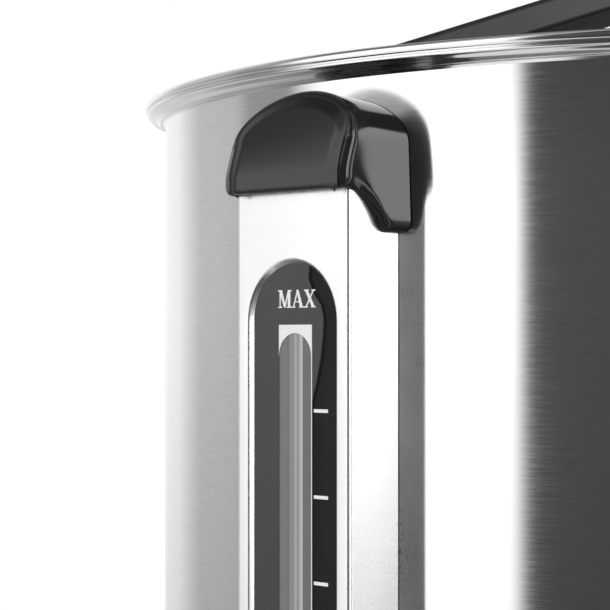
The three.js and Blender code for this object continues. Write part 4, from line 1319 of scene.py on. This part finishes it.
def make_stage():
    """A pale floor that mirrors in nothing: glossy rays pass through it."""
    mesh = bpy.data.meshes.new("floor")
    ring = [(1.6 * math.cos(a), 1.6 * math.sin(a), 0) for a in (2 * math.pi * i / 96 for i in range(96))]
    mesh.from_pydata(ring, [], [tuple(range(96))])
    floor = bpy.data.objects.new("floor", mesh)
    bpy.context.scene.collection.objects.link(floor)
    nodes = Nodes("floor_pale")
    cloud = nodes.noise(nodes.coordinates(), 3.0, 2.0)
    nodes.feed("Base Color", nodes.tinted(nodes.scaled(cloud, 0, 1), (0.80,) * 3, (0.82,) * 3))
    nodes.set(Roughness=0.9, Emission_Color=(1, 1, 1, 1), Emission_Strength=0.45)
    mix = nodes.add("ShaderNodeMixShader")
    nodes.join(nodes.add("ShaderNodeLightPath").outputs["Is Glossy Ray"], mix.inputs["Fac"])
    nodes.join(nodes.shader.outputs[0], mix.inputs[1])
    nodes.join(nodes.add("ShaderNodeBsdfTransparent").outputs[0], mix.inputs[2])
    nodes.join(mix.outputs[0], nodes.tree.nodes["Material Output"].inputs["Surface"])
    mesh.materials.append(nodes.material)


def make_world():
    """White behind the object for the camera. For light, a room with bright and dark stretches by direction.

    The room is bright to the left and right and dark between them, with a narrow brighter card in the dark.
    """
    brightest = 6.0
    world = bpy.data.worlds.new("studio")
    bpy.context.scene.world = world
    world.use_nodes = True
    world.node_tree.nodes.clear()
    sky = Tree(world.node_tree)

    def by_angle(angle, span, stops):
        """A light level that follows an angle, from (degrees, level) stops."""
        place = sky.math("MULTIPLY_ADD", angle, 1 / math.radians(span), 0.5)
        shares = [(degrees / span + 0.5, level / brightest) for degrees, level in stops]
        return sky.math("MULTIPLY", sky.ramp(place, shares), brightest)

    direction = sky.add("ShaderNodeTexCoord").outputs["Generated"]
    parts = sky.add("ShaderNodeSeparateXYZ")
    sky.join(direction, parts.inputs[0])
    azimuth = sky.math("ARCTAN2", parts.outputs["Y"], parts.outputs["X"])
    rise = sky.math("ARCSINE", parts.outputs["Z"])
    room = by_angle(azimuth, 360, [
        (-180, 0.6), (-172, 0.6), (-164, 0.57), (-160, 0.36), (-147, 0.36), (-140, 1.3), (-132, 1.6),
        (-96, 1.7), (-92.5, 0.09), (-46, 0.07), (5, 0.08), (14, 0.6), (24, 3.0), (62, 3.0), (78, 1.4), (98, 0.5),
        (106, 0.05), (137, 0.05), (142, 1.0), (164, 1.0), (178, 0.6), (180, 0.6)])
    room_height = by_angle(rise, 180, [
        (-90, 0.5), (-40, 0.6), (-12, 0.68), (1, 1.0), (34, 1.0), (44, 0.3), (90, 0.25)])
    card = by_angle(azimuth, 360, [(-41, 0.0), (-38, 4.5), (-7, 4.5), (-4, 0.0)])
    card_height = by_angle(rise, 180, [(-30, 0.05), (-9, 0.16), (-3, 0.3), (3, 1.0), (34, 1.0), (44, 0.2)])
    lights = sky.math("MULTIPLY", room, room_height), sky.math("MULTIPLY", card, card_height)
    shown = sky.add("ShaderNodeBackground")
    shown.inputs["Color"].default_value = (1, 1, 1, 1)
    shown.inputs["Strength"].default_value = 1.0
    lit = sky.add("ShaderNodeBackground")
    lit.inputs["Color"].default_value = (1, 1, 1, 1)
    sky.join(sky.math("ADD", *lights), lit.inputs["Strength"])
    mix = sky.add("ShaderNodeMixShader")
    sky.join(sky.add("ShaderNodeLightPath").outputs["Is Camera Ray"], mix.inputs["Fac"])
    sky.join(lit.outputs[0], mix.inputs[1])
    sky.join(shown.outputs[0], mix.inputs[2])
    sky.join(mix.outputs[0], sky.add("ShaderNodeOutputWorld").inputs["Surface"])
    bpy.context.scene.view_settings.view_transform = "Standard"
    bpy.context.scene.view_settings.look = "None"


make_vessel()
make_cover()
make_face()
make_marks()
make_tube()
make_lens()
make_caps()
make_lid()
make_strap()
make_base()
make_feet()
make_knob()
make_dial()
make_rocker()
make_lamps()
make_tap()
make_bonnet()
make_lever()
make_handles()
make_screws()
dress_kept()
make_stage()
make_world()
